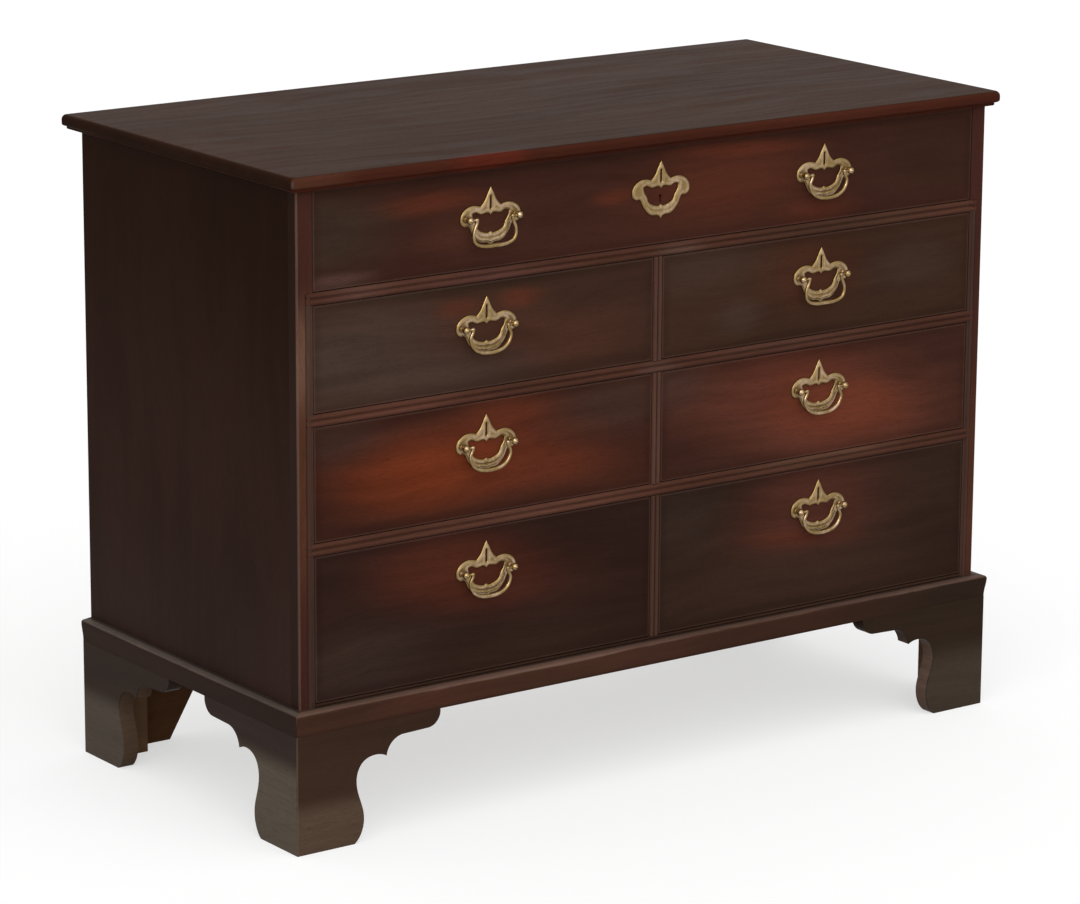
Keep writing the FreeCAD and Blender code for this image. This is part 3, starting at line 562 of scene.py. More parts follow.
def soften(piece, width, loose=True):
    """Round every sharp edge of a piece a little."""
    if loose:
        weld = piece.modifiers.new("weld", "WELD")
        weld.merge_threshold = 0.00001
    flat = piece.modifiers.new("flat", "DECIMATE")
    flat.decimate_type = "DISSOLVE"
    flat.angle_limit = math.radians(0.5)
    round_over = piece.modifiers.new("round_over", "BEVEL")
    round_over.width = width
    round_over.segments = 2
    round_over.limit_method = "ANGLE"
    round_over.angle_limit = math.radians(35)
    shade = piece.modifiers.new("shade", "WEIGHTED_NORMAL")
    shade.keep_sharp = False


BRASS_NODES = ("_fittings", "_bail", "_lock")
wooden = [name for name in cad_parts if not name.endswith(BRASS_NODES)]

# %% [markdown]
# ## Boards that touch
#
# Some nodes hold boards that touch face to face: the mitred halves of a foot, the lapped
# dovetails of a drawer. Weld would join them into one lump with walls inside, which Bevel can't
# round. So each such node is copied with its boards kept apart. The triangles of one board
# follow each other in the list, and a board is closed when each of its edges has been met twice,
# so that is where the next one starts, with points of its own. Their joints then show as the
# hairlines that they are on the real chest.

# %% Boards kept apart


def put_in_scene(name, data):
    """A new object in the scene that shows a mesh, a curve, a lamp or a camera."""
    thing = bpy.data.objects.new(name, data)
    bpy.context.scene.collection.objects.link(thing)
    return thing


def signed_volume(mesh):
    """The volume in cm3 that a closed mesh holds, above zero where its faces point outwards."""
    mesh.calc_loop_triangles()
    total = 0.0
    for triangle in mesh.loop_triangles:
        a, b, c = (mesh.vertices[i].co for i in triangle.vertices)
        total += a.dot(b.cross(c)) / 6
    return total * 1e6


def add_piece(name, mesh, body, slot_name, *nodes):
    """Put a finished mesh in the scene, on its body, in the place of its nodes."""
    piece = put_in_scene(name, mesh)
    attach(piece, body)
    if nodes:
        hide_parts(*nodes)
    print("%s: %d faces, %.2f cm3" % (name, len(mesh.polygons), signed_volume(mesh)))
    return piece


def boards_apart(mesh):
    """Points and triangles of a node, each board welded by itself, and how many points touch."""
    points, triangles, places, met_once, board = [], [], set(), set(), {}
    for polygon in mesh.polygons:
        corners = [mesh.vertices[i].co.to_tuple(6) for i in polygon.vertices]
        if len(set(corners)) < 3:
            continue
        for corner in corners:
            if corner not in board:
                board[corner] = len(points)
                points.append(corner)
        places.update(corners)
        triangle = [board[corner] for corner in corners]
        triangles.append(triangle)
        met_once ^= {frozenset(edge) for edge in zip(triangle, triangle[1:] + triangle[:1])}
        if not met_once:
            board = {}
    return points, triangles, len(points) - len(places)


def soften_node(name, slot_name, width):
    """Soften a node as it is, or where its boards touch, a copy that keeps them apart."""
    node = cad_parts[name]
    points, triangles, touching = boards_apart(node.data)
    if not touching:
        soften(node, width)
        return
    mesh = bpy.data.meshes.new(name + "_boards")
    mesh.from_pydata(points, [], triangles)
    mesh.shade_smooth()
    mesh.materials.append(node.data.materials[0])
    body = next((drawer for drawer in FRONT_BOARDS if name.startswith(drawer)), "carcase")
    soften(add_piece(name + "_boards", mesh, body, slot_name, name), JOINT_WIDTH, loose=False)


for name in wooden:
    soften_node(name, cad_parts[name].data.materials[0].name.split("_")[0], EDGE_WIDTH)
print("%d wooden nodes softened" % len(wooden))

# %% [markdown]
# ## Brass
#
# The handles are cast brass that was once lacquered or gilt. Where fingers rub it, on the crest
# of each scroll, it is pale and bright; in the hollows it has gone olive and then brown. So the
# colour follows how high a point stands in the relief, which the plates carry as an attribute of
# their own, and a little cloudiness breaks it up. The turned posts and the bails are rubbed all
# over and need only the clouds.

# %% The brass finishes

BRASS_HOLLOW = (0.064, 0.039, 0.014)
BRASS_BODY = (0.218, 0.143, 0.055)
BRASS_RUBBED = (0.450, 0.325, 0.225)


def brass(name, by_relief):
    """Old cast brass, coloured by its relief or only by clouds of tarnish."""
    material, tree, shader = new_material(name)
    place = add_node(tree, "ShaderNodeTexCoord").outputs["Object"]
    clouds = even_noise(tree, place, 210.0, 3.0)
    pits = even_noise(tree, place, 900.0, 2.0)
    patches = even_noise(tree, place, 55.0, 1.0)
    uneven = number(tree, "SUBTRACT", number(tree, "ADD", clouds, patches), 1.0)
    if by_relief:
        relief = add_node(tree, "ShaderNodeAttribute", attribute_name="relief").outputs["Fac"]
        height = number(tree, "ADD", relief, number(tree, "MULTIPLY", uneven, 0.5))
    else:
        height = number(tree, "ADD", number(tree, "MULTIPLY", uneven, 0.7), 0.85)
    colour = mix_colour(tree, fade(tree, height, 0.05, 0.50), BRASS_HOLLOW, BRASS_BODY)
    colour = mix_colour(tree, fade(tree, height, 0.70, 1.30), colour, BRASS_RUBBED)
    rough = fade(tree, height, 0.2, 1.0, 0.48, 0.33)
    drive_shader(tree, shader, colour, rough, pits, 0.35, 0.0002)
    shader.inputs["Metallic"].default_value = 1.0
    return material


brass_plates = brass("brass_plates", True)
brass_turned = brass("brass_turned", False)
give(brass_turned, "top_drawer_lock")
soften_node("top_drawer_lock", "brass", LOCK_WIDTH)
print("two finishes of brass")

# %% [markdown]
# ## The outline of a handle plate
#
# Each plate is a rococo casting 89 mm wide: a spike above, two scrolled shoulders, arms that
# sweep down to a drop, and an open centre. A designer draws half of it and folds the paper, so
# the right half is written here as a few points in mm from the plate's middle, in runs that meet
# at the sharp places, and a smooth line goes through the points of each run. The line is a
# natural cubic spline: the calmest curve through its points.

# %% Smooth lines and mirrored loops

PLATE_RIM = [
    [(0.0, 40.0), (4.6, 32.0), (8.8, 23.5), (15.0, 16.8)],
    [(15.0, 16.8), (25.0, 18.8), (35.0, 16.4), (42.0, 10.6), (44.5, 3.4), (42.6, -3.6),
     (37.8, -6.6)],
    [(37.8, -6.6), (33.0, -6.4), (28.6, -13.2), (22.6, -21.6), (15.6, -27.0), (7.2, -28.0)],
    [(7.2, -28.0), (3.2, -29.4), (0.0, -33.2)],
]
PLATE_OPENING = [
    [(0.0, 4.6), (3.4, 7.6), (9.0, 7.4), (15.0, 6.8), (22.0, 9.6), (26.6, 8.4)],
    [(26.6, 8.4), (25.2, 2.0), (21.2, -4.2), (19.0, -9.8), (13.6, -13.8), (7.4, -15.8),
     (3.0, -16.0), (0.0, -14.2)],
]
PLATE_SLIT = [[(0.0, 29.0), (0.9, 28.2)], [(0.9, 28.2), (0.9, 13.3)], [(0.9, 13.3), (0.0, 12.5)]]


def smooth_line(points, step):
    """Points at even steps along the natural cubic spline through a few given ones."""
    points = np.array(points, float)
    gaps = np.linalg.norm(np.diff(points, axis=0), axis=1)
    along = np.concatenate([[0.0], np.cumsum(gaps)])
    count = len(points)
    system = np.eye(count)
    bends = np.zeros_like(points)
    for i in range(1, count - 1):
        system[i, i - 1:i + 2] = gaps[i - 1], 2 * (gaps[i - 1] + gaps[i]), gaps[i]
        bends[i] = 6 * ((points[i + 1] - points[i]) / gaps[i]
                        - (points[i] - points[i - 1]) / gaps[i - 1])
    bends = np.linalg.solve(system, bends)
    line = []
    for place in np.linspace(0.0, along[-1], max(2, round(along[-1] / step)) + 1):
        i = min(int(np.searchsorted(along, place, side="right")) - 1, count - 2)
        before = (along[i + 1] - place) / gaps[i]
        after = 1.0 - before
        line.append(before * points[i] + after * points[i + 1]
                    + ((before ** 3 - before) * bends[i]
                       + (after ** 3 - after) * bends[i + 1]) * gaps[i] ** 2 / 6)
    return np.array(line)


def mirrored_loop(runs, step):
    """A closed rim from the smooth runs of its right half, which go from top to bottom."""
    half = np.vstack([smooth_line(run, step)[:-1] for run in runs] + [[runs[-1][-1]]])
    return np.vstack([half, half[-2:0:-1] * (-1, 1)])


RIM_STEP = 0.8
plate_loops = [mirrored_loop(runs, RIM_STEP) for runs in (PLATE_RIM, PLATE_OPENING, PLATE_SLIT)]
print("rim, opening and slit of %s points" % ", ".join(str(len(loop)) for loop in plate_loops))

# %% [markdown]
# ## The relief of a plate
#
# A casting has no flat face. Seen in section, each bar of the plate is a low dome that springs
# steeply from its rim, and the broad scrolls are dished in their middles. Both follow from one
# number: how far a point lies from the nearest rim. So the plate is filled with a fine net of
# triangles, each point's distance to the rim is measured, and the distance gives the height. Only
# the shallow flutes above the drop and the low ridge up the spike are laid on by place. A flat
# back and a thin wall close the casting. The net is made once, and each plate adds a little
# unevenness of its own, as castings from one pattern do.

# %% The net of triangles

# All in mm. The rings lie this far to each side of a rim, and stay nearly that far from the others.
RING_DEPTHS = (-0.9, -0.35, 0.35, 0.9)
RING_CLEARANCE = 0.93
# The grid between the rings, its rows closer than its columns so that its triangles are even.
NET_STEP = 0.95
NET_ROW_SHARE = 0.87
NET_INSET = 1.35
NET_LEFT, NET_RIGHT = -45.0, 45.1
NET_LOW, NET_HIGH = -34.0, 41.0


def inside_loop(points, loop):
    """Whether each point lies in a closed loop: a level line from it crosses the loop oddly."""
    x, y = points[:, 0, None], points[:, 1, None]
    ends = np.roll(loop, -1, axis=0)
    rise = np.where(ends[:, 1] == loop[:, 1], 1e-9, ends[:, 1] - loop[:, 1])
    crossing = (ends[:, 0] - loop[:, 0]) * (y - loop[:, 1]) / rise + loop[:, 0]
    return (((loop[:, 1] > y) != (ends[:, 1] > y)) & (x < crossing)).sum(axis=1) % 2 == 1


def on_brass(points):
    """Whether each point lies on the plate and in none of its openings."""
    return (inside_loop(points, plate_loops[0]) & ~inside_loop(points, plate_loops[1])
            & ~inside_loop(points, plate_loops[2]))


def rim_distance(points, loops):
    """How far each point lies from the nearest of the loops."""
    best = np.full(len(points), np.inf)
    for loop in loops:
        run = np.roll(loop, -1, axis=0) - loop
        share = ((points[:, None] - loop) * run).sum(axis=2) / (run * run).sum(axis=1)
        nearest = loop + np.clip(share, 0, 1)[..., None] * run
        best = np.minimum(best, np.linalg.norm(points[:, None] - nearest, axis=2).min(axis=1))
    return best


def triangulate(points):
    """A net of triangles through points that start with the loops, openings left out."""
    edges = []
    start = 0
    for loop in plate_loops:
        edges += [(start + i, start + (i + 1) % len(loop)) for i in range(len(loop))]
        start += len(loop)
    vertices, _, faces, came_from, _, _ = delaunay_2d_cdt(
        [Vector(p) for p in points], edges, [], 0, 1e-6)
    vertices = np.array([tuple(v) for v in vertices])
    middles = np.array([vertices[list(face)].mean(axis=0) for face in faces])
    kept = [tuple(face) for face, good in zip(faces, on_brass(middles)) if good]
    place_of = {source: i for i, sources in enumerate(came_from) for source in sources}
    return vertices, kept, place_of


def filling_points():
    """Points on the brass: rings close to each rim, where the relief is steep, and a grid."""
    rings = []
    for loop in plate_loops:
        along = np.roll(loop, -1, axis=0) - np.roll(loop, 1, axis=0)
        across = np.stack([along[:, 1], -along[:, 0]], axis=1)
        across /= np.linalg.norm(across, axis=1)[:, None]
        for depth in RING_DEPTHS:
            ring = loop + depth * across
            clear = rim_distance(ring, plate_loops) > RING_CLEARANCE * abs(depth)
            rings.append(ring[clear])
    columns, rows = np.meshgrid(np.arange(NET_LEFT, NET_RIGHT, NET_STEP),
                                np.arange(NET_LOW, NET_HIGH, NET_STEP * NET_ROW_SHARE))
    columns[1::2] += NET_STEP / 2
    grid = np.stack([columns.ravel(), rows.ravel()], axis=1)
    grid = grid[rim_distance(grid, plate_loops) > NET_INSET]
    filling = np.vstack(rings + [grid])
    return filling[on_brass(filling)]


rim_points = np.vstack(plate_loops)
face_net, face_triangles, face_place = triangulate(np.vstack([rim_points, filling_points()]))
back_net, back_triangles, back_place = triangulate(rim_points)
print("plate of %d triangles in front and %d behind"
      % (len(face_triangles), len(back_triangles)))

# %% Height of the casting at each point

# Heights and widths in mm; depths of the dish, the flutes and the ridge as shares of the relief.
RIM_HEIGHT = 0.6
CREST_HEIGHT = 2.45
HIGHEST_RELIEF = 1.06
DOME_WIDTH = 3.8
DISH_DEPTH = 0.30
DISH_START = 3.9
DISH_WIDTH = 2.2
FLUTE_DEPTH = 0.04
FLUTE_STEP = 5.2
FLUTE_RISE = 1.5
FLUTES_BELOW = -12
FLUTES_HALF_WIDTH = 15
RIDGE_DEPTH = 0.10
RIDGE_HALF_WIDTH = 5.0
RIDGE_FROM = 18
RIDGE_RISE = 10


def plate_heights(points):
    """Height in mm and relief, about 1 on the crests, at each point of the plate."""
    inset = rim_distance(points, plate_loops)
    across, up = points[:, 0], points[:, 1]
    dome = np.sqrt(np.clip(1 - (1 - np.clip(inset / DOME_WIDTH, 0, 1)) ** 2, 0, 1))
    dished = DISH_DEPTH * np.clip((inset - DISH_START) / DISH_WIDTH, 0, 1)
    fluted = (FLUTE_DEPTH * np.cos(2 * np.pi * across / FLUTE_STEP)
              * (up < FLUTES_BELOW) * (np.abs(across) < FLUTES_HALF_WIDTH))
    ridge = (np.clip(1 - np.abs(across) / RIDGE_HALF_WIDTH, 0, 1)
             * np.clip((up - RIDGE_FROM) / RIDGE_RISE, 0, 1))
    relief = np.clip(dome - dished + fluted * np.clip(inset / FLUTE_RISE, 0, 1)
                     + RIDGE_DEPTH * ridge, 0, HIGHEST_RELIEF)
    return RIM_HEIGHT + (CREST_HEIGHT - RIM_HEIGHT) * relief, relief


face_heights, face_relief = plate_heights(face_net)
print("relief from %.2f to %.2f mm" % (face_heights.min(), face_heights.max()))

# %% Casting the plates of a drawer

ROW_PLACES = {
    "upper_left_drawer": (-259.5, 611.0), "upper_right_drawer": (259.5, 611.0),
    "middle_left_drawer": (-259.5, 465.3), "middle_right_drawer": (259.5, 465.3),
    "lower_left_drawer": (-259.0, 307.0), "lower_right_drawer": (262.5, 307.0),
}
HANDLES = {drawer: [place] for drawer, place in ROW_PLACES.items()}
HANDLES["top_drawer"] = [(-254.0, 743.8), (261.0, 743.8)]
ESCUTCHEON = (2.0, 748.7)
FRONT_Y = -247.0
UNEVENNESS = 0.10


def cast_plates(name, centres):
    """One mesh of the plates that are pinned to a drawer front."""
    vertices, faces, reliefs = [], [], []
    for x, z in centres:
        start = len(vertices)
        for (u, v), height, relief in zip(face_net, face_heights, face_relief):
            uneven = UNEVENNESS * noise.noise(Vector((u + 3 * x, v + z, 0.0)) * 0.16)
            vertices.append((x + u, FRONT_Y - height - uneven * relief, z + v))
            reliefs.append(relief)
        back = len(vertices)
        for u, v in back_net:
            vertices.append((x + u, FRONT_Y, z + v))
            reliefs.append(0.0)
        faces += [tuple(start + i for i in face) for face in face_triangles]
        faces += [tuple(back + i for i in reversed(face)) for face in back_triangles]
        first = 0
        for number_of_loop, loop in enumerate(plate_loops):
            for i in range(len(loop)):
                here, there = first + i, first + (i + 1) % len(loop)
                wall = (start + face_place[here], back + back_place[here],
                        back + back_place[there], start + face_place[there])
                faces.append(wall[::-1] if number_of_loop == 0 else wall)
            first += len(loop)
    mesh = bpy.data.meshes.new(name)
    mesh.from_pydata([tuple(c / 1000 for c in v) for v in vertices], [], faces)
    mesh.attributes.new("relief", "FLOAT", "POINT").data.foreach_set("value", reliefs)
    mesh.shade_smooth()
    mesh.set_sharp_from_angle(angle=math.radians(75))
    mesh.materials.append(brass_plates)
    return mesh


for drawer, centres in HANDLES.items():
    extra = [ESCUTCHEON] if drawer == "top_drawer" else []
    mesh = cast_plates(drawer + "_plates", centres + extra)
    add_piece(drawer + "_plates", mesh, drawer, "brass", drawer + "_fittings")

# %% [markdown]
# ## A kit for Geometry Nodes
#
# Posts, bails, nuts, nails and the moulding of the plinth all follow a rule: the same turned
# shape at many places, or one section along a line. Geometry Nodes say such a rule once, with
# its sizes as named inputs, and stay editable until the last moment. Each tree here is built by
# the script, ends in Realize Instances and Set Material, and is run on a small source mesh or
# curve. The result is then kept as a plain mesh, because an exporter knows nothing of trees.

# %% Opening, closing and running a tree


def open_tree(name, **sizes):
    """A Geometry Nodes tree with a geometry input, a material input and named sizes."""
    tree = bpy.data.node_groups.new(name, "GeometryNodeTree")
    tree.interface.new_socket("Source", in_out="INPUT", socket_type="NodeSocketGeometry")
    tree.interface.new_socket("Finish", in_out="INPUT", socket_type="NodeSocketMaterial")
    for label, value in sizes.items():
        kind = {float: "Float", int: "Int", tuple: "Vector"}[type(value)]
        socket = tree.interface.new_socket(label, in_out="INPUT", socket_type="NodeSocket" + kind)
        socket.default_value = value
    tree.interface.new_socket("Result", in_out="OUTPUT", socket_type="NodeSocketGeometry")
    return tree, tree.nodes.new("NodeGroupInput").outputs


def close_tree(tree, geometry, given):
    """End a tree: instances made real, then the finish."""
    real = add_node(tree, "GeometryNodeRealizeInstances", {"Geometry": geometry})
    painted = add_node(tree, "GeometryNodeSetMaterial",
                       {"Geometry": real.outputs[0], "Material": given["Finish"]})
    add_node(tree, "NodeGroupOutput", {"Result": painted.outputs[0]})


def run_tree(tree, source, finish, **values):
    """The plain mesh that a tree makes from a source mesh or curve."""
    holder = put_in_scene(tree.name + "_source", source)
    modifier = holder.modifiers.new(tree.name, "NODES")
    modifier.node_group = tree
    for item in tree.interface.items_tree:
        if item.in_out == "INPUT" and item.name == "Finish":
            modifier[item.identifier] = finish
        elif item.in_out == "INPUT" and item.name in values:
            modifier[item.identifier] = values[item.name]
    shape = holder.evaluated_get(bpy.context.evaluated_depsgraph_get())
    mesh = bpy.data.meshes.new_from_object(shape)
    bpy.data.objects.remove(holder)
    return mesh


def random_between(tree, low, high, seed):
    """A random number for each point, the same at every run."""
    return add_node(tree, "FunctionNodeRandomValue", {2: low, 3: high, "Seed": seed},
                    data_type="FLOAT").outputs[1]


def at_points(tree, given, shape, turn=0.0, size=(1.0, 1.0, 1.0)):
    """A shape at every point of the source, turned about Y and sized."""
    angle = add_node(tree, "ShaderNodeCombineXYZ", {"Y": turn}).outputs[0]
    return add_node(tree, "GeometryNodeInstanceOnPoints",
                    {"Points": given["Source"], "Instance": shape, "Rotation": angle,
                     "Scale": size}).outputs[0]


def joined(tree, *parts):
    """Several geometries as one."""
    join = tree.nodes.new("GeometryNodeJoinGeometry")
    for part in parts:
        tree.links.new(part, join.inputs[0])
    return join.outputs[0]


print("kit for Geometry Nodes ready")

# %% [markdown]
# ## Turned shapes
#
# A post is turned on a lathe: every section is a circle, and only the radius changes along its
# length. That is one straight line, swept by a circle whose scale a Float Curve draws. The drawn
# profile reads like the turner's own pattern: a collar on the plate, a thin neck, the ball that
# carries the bail, and a button at the tip. The same tool turns the pins of the bails.

# %% A lathe of nodes


def drawn_profile(tree, profile):
    """A share of the radius for each place along a line, drawn as a curve through points."""
    along = tree.nodes.new("GeometryNodeSplineParameter").outputs["Factor"]
    drawing = tree.nodes.new("ShaderNodeFloatCurve")
    curve = drawing.mapping.curves[0]
    curve.points[0].location = profile[0]
    curve.points[1].location = profile[-1]
    for place in profile[1:-1]:
        curve.points.new(*place)
    drawing.mapping.update()
    tree.links.new(along, drawing.inputs["Value"])
    return drawing.outputs[0]


def turned(tree, start, end, radius, profile, rings, sides):
    """A shape of revolution between two points."""
    line = add_node(tree, "GeometryNodeCurvePrimitiveLine", {"Start": start, "End": end})
    fine = add_node(tree, "GeometryNodeResampleCurve", {"Curve": line.outputs[0], "Count": rings})
    circle = add_node(tree, "GeometryNodeCurvePrimitiveCircle",
                      {"Resolution": sides, "Radius": 1.0})
    size = number(tree, "MULTIPLY", drawn_profile(tree, profile), radius)
    return add_node(tree, "GeometryNodeCurveToMesh",
                    {"Curve": fine.outputs[0], "Profile Curve": circle.outputs[0],
                     "Scale": size, "Fill Caps": True}).outputs[0]


POST_PROFILE = [(0.00, 0.72), (0.08, 0.72), (0.12, 0.62), (0.18, 0.55), (0.27, 0.53),
                (0.34, 0.60), (0.41, 0.80), (0.49, 0.94), (0.56, 0.98), (0.63, 1.00),
                (0.70, 0.98), (0.77, 0.90), (0.84, 0.75), (0.90, 0.50), (0.94, 0.33),
                (0.97, 0.30), (1.00, 0.08)]


def post_tree():
    """A turned post at every point of the source."""
    tree, given = open_tree("turned_posts", Foot=0.0012, Reach=0.0153, Radius=0.0046)
    foot, tip = (add_node(tree, "ShaderNodeCombineXYZ",
                          {"Y": number(tree, "MULTIPLY", given[end], -1.0)}).outputs[0]
                 for end in ("Foot", "Reach"))
    post = turned(tree, foot, tip, given["Radius"], POST_PROFILE, rings=44, sides=20)
    close_tree(tree, at_points(tree, given, post), given)
    return tree


def point_mesh(name, places):
    """A mesh of loose points, given in mm."""
    mesh = bpy.data.meshes.new(name)
    mesh.from_pydata([tuple(c / 1000 for c in place) for place in places], [], [])
    return mesh


BALL_OFFSET, BALL_LIFT, BALL_STANDOFF = 36.0, 2.8, 10.0
posts_of_brass = post_tree()
ball_places = {drawer: [(x + side * BALL_OFFSET, FRONT_Y, z + BALL_LIFT)
                        for x, z in centres for side in (-1, 1)]
               for drawer, centres in HANDLES.items()}
for drawer, places in ball_places.items():
    mesh = run_tree(posts_of_brass, point_mesh(drawer + "_balls", places), brass_turned)
    mesh.shade_smooth()
    add_piece(drawer + "_posts", mesh, drawer, "brass", drawer + "_fittings")

# %% [markdown]
# ## Nuts and bolt ends
#
# Behind the front, each post ends in a thread with a square, hand-filed nut. A square nut is a
# four-sided prism with its outer corners chamfered, so a cylinder with four sides and a cone
# with four sides make it, and a short rod is the bolt. No two nuts stop at the same angle, so a
# Random Value with a fixed seed turns each one a little.

# %% Square nuts behind each drawer front


def laid_back(tree, geometry, distance, turn=0.0):
    """A shape that stands on Z, turned about Z, laid down along Y and moved back."""
    upright = add_node(tree, "GeometryNodeTransform",
                       {"Geometry": geometry, "Rotation": (0.0, 0.0, turn)})
    return add_node(tree, "GeometryNodeTransform",
                    {"Geometry": upright.outputs[0], "Rotation": (-math.pi / 2, 0.0, 0.0),
                     "Translation": (0.0, distance, 0.0)}).outputs[0]


NUT_THICKNESS = 0.0027
BOLT_END = 0.0048
BOLT_CENTRE = 0.0002


def nut_tree():
    """A chamfered square nut and the end of its bolt at every point of the source."""
    tree, given = open_tree("nuts", Radius=0.0083, Thickness=NUT_THICKNESS, Chamfer=0.0008,
                            Bolt=0.0024, Turn=0.16, Seed=7)
    prism = add_node(tree, "GeometryNodeMeshCylinder",
                     {"Vertices": 4, "Radius": given["Radius"], "Depth": given["Thickness"]})
    bevelled = add_node(tree, "GeometryNodeMeshCone",
                        {"Vertices": 4, "Radius Bottom": given["Radius"],
                         "Radius Top": number(tree, "SUBTRACT", given["Radius"],
                                              given["Chamfer"]),
                         "Depth": given["Chamfer"]})
    rod = add_node(tree, "GeometryNodeMeshCone",
                   {"Vertices": 14, "Radius Bottom": given["Bolt"],
                    "Radius Top": number(tree, "MULTIPLY", given["Bolt"], 0.8),
                    "Depth": BOLT_END})
    eighth = math.pi / 4
    nut = joined(tree, laid_back(tree, prism.outputs[0], NUT_THICKNESS / 2, eighth),
                 laid_back(tree, bevelled.outputs[0], NUT_THICKNESS, eighth),
                 laid_back(tree, rod.outputs[0], BOLT_CENTRE))
    turn = random_between(tree, number(tree, "MULTIPLY", given["Turn"], -1.0), given["Turn"],
                          given["Seed"])
    close_tree(tree, at_points(tree, given, nut, turn), given)
    return tree


FRONT_THICKNESS = 20.0
nuts_of_brass = nut_tree()
for drawer, places in ball_places.items():
    behind = [(x, FRONT_Y + FRONT_THICKNESS, z) for x, _, z in places]
    mesh = run_tree(nuts_of_brass, point_mesh(drawer + "_bolts", behind), brass_turned)
    mesh.shade_flat()
    add_piece(drawer + "_nuts", mesh, drawer, "brass", drawer + "_fittings")
print("nuts on %d bolts" % sum(len(places) for places in ball_places.values()))

# %% [markdown]
# ## Bails
#
# A bail is the part that the hand takes: a bar that hangs from two pins, thickest at its crest
# where a finger lifts it. Its line is drawn in mm from its pivot, half at a time, and a circle
# is swept along it, with a scale that rises towards the middle. The pins are turned by the same
# lathe as the posts, each with a knuckle where it meets the bar. Six of the eight bails are the
# usual swag; two are squarer and deeper, as later replacements often are.

# %% Bails on their pins

SWAG_BAIL = [(26.0, 0.9), (26.4, -3.6), (29.4, -9.6), (28.6, -17.4), (23.8, -24.4),
             (14.6, -29.4), (0.0, -31.2)]
DEEP_BAIL = [(26.0, 0.9), (26.4, -3.8), (29.6, -11.5), (31.0, -19.5), (28.6, -27.4),
             (20.5, -32.0), (0.0, -33.4)]
BAR_PROFILE = [(0.00, 0.86), (0.06, 0.78), (0.25, 0.82), (0.50, 1.00), (0.75, 0.82),
               (0.94, 0.78), (1.00, 0.86)]
PIN_PROFILE = [(0.00, 0.20), (0.05, 0.66), (0.13, 0.96), (0.20, 1.00), (0.30, 0.90),
               (0.37, 0.66), (0.42, 0.62), (1.00, 0.62)]


def bail_tree():
    """A bar swept along the source, and two pins beside the pivot."""
    tree, given = open_tree("bail", Crest=0.0027, Knuckle=0.0024, Inner=0.0233, Outer=0.0372,
                            Pivot=(0.0, 0.0, 0.0))
    circle = add_node(tree, "GeometryNodeCurvePrimitiveCircle", {"Resolution": 14, "Radius": 1.0})
    size = number(tree, "MULTIPLY", drawn_profile(tree, BAR_PROFILE), given["Crest"])
    bar = add_node(tree, "GeometryNodeCurveToMesh",
                   {"Curve": given["Source"], "Profile Curve": circle.outputs[0],
                    "Scale": size, "Fill Caps": True}).outputs[0]
    pins = []
    for side in (-1.0, 1.0):
        ends = []
        for reach in (given["Inner"], given["Outer"]):
            beside = add_node(tree, "ShaderNodeCombineXYZ",
                              {"X": number(tree, "MULTIPLY", reach, side)})
            ends.append(add_node(tree, "ShaderNodeVectorMath",
                                 {0: beside.outputs[0], 1: given["Pivot"]},
                                 operation="ADD").outputs[0])
        pins.append(turned(tree, ends[0], ends[1], given["Knuckle"], PIN_PROFILE,
                           rings=22, sides=14))
    close_tree(tree, joined(tree, bar, *pins), given)
    return tree


def bail_line(name, half, pivot):
    """The whole centre line of a bail, as a curve in metres."""
    right = smooth_line(half, step=1.3)
    line = np.vstack([right, right[-2::-1] * (-1, 1)])
    curve = bpy.data.curves.new(name, "CURVE")
    curve.dimensions = "3D"
    spline = curve.splines.new("POLY")
    spline.points.add(len(line) - 1)
    for point, (u, v) in zip(spline.points, line):
        point.co = ((pivot[0] + u) / 1000, pivot[1] / 1000, (pivot[2] + v) / 1000, 1.0)
    return curve


bails = {drawer + "_bail": place for drawer, place in ROW_PLACES.items()}
bails["top_drawer_left_bail"], bails["top_drawer_right_bail"] = HANDLES["top_drawer"]
deep_bails = ("top_drawer_left_bail", "upper_right_drawer_bail")
bail_shape = bail_tree()
for bail, (x, z) in bails.items():
    pivot = (x, FRONT_Y - BALL_STANDOFF, z + BALL_LIFT)
    line = bail_line(bail + "_line", DEEP_BAIL if bail in deep_bails else SWAG_BAIL, pivot)
    mesh = run_tree(bail_shape, line, brass_turned, Pivot=tuple(c / 1000 for c in pivot))
    mesh.shade_smooth()
    add_piece(bail + "_bar", mesh, bail, "brass", bail)

# %% [markdown]
# ## The plinth moulding
#
# The plinth is one moulding that runs round three sides and is cut at 45 degrees where it turns.
# A joiner planes a length of the section and saws the mitres. The tree does the same: the flat
# section is extruded to its length, and then each end is sheared, every point by as far as it
# stands out from the case, which is exactly what a mitre is. One tree makes the front and both
# sides, and only its length, its turn and its mitres differ.

# %% The plinth moulding, mitred by shear

CASE_HALF, CASE_BACK = 530.0, 241.0


FOOT_TOP, LEDGE_HEIGHT, MOULDING_TOP = 149.0, 164.0, 178.0
TONGUE = 10.0
NOSE_OUT, NOSE_HEIGHT, NOSE_RADIUS = 10.9, 173.2, 3.6
SWELL = [(12.0, FOOT_TOP), (12.05, 151.5), (12.3, 155.0), (12.8, 159.0), (13.4, 163.0),
         (14.0, 167.0), (14.4, 170.5)]


def plinth_section():
    """The moulding's section in mm: how far out of the case, and how high."""
    nose = []
    for step in range(7):
        angle = math.radians(15 * step)
        nose.append((NOSE_OUT + NOSE_RADIUS * math.cos(angle),
                     NOSE_HEIGHT + NOSE_RADIUS * math.sin(angle)))
    return ([(-TONGUE, FOOT_TOP)] + SWELL + nose
            + [(0.0, MOULDING_TOP), (0.0, LEDGE_HEIGHT), (-TONGUE, LEDGE_HEIGHT)])


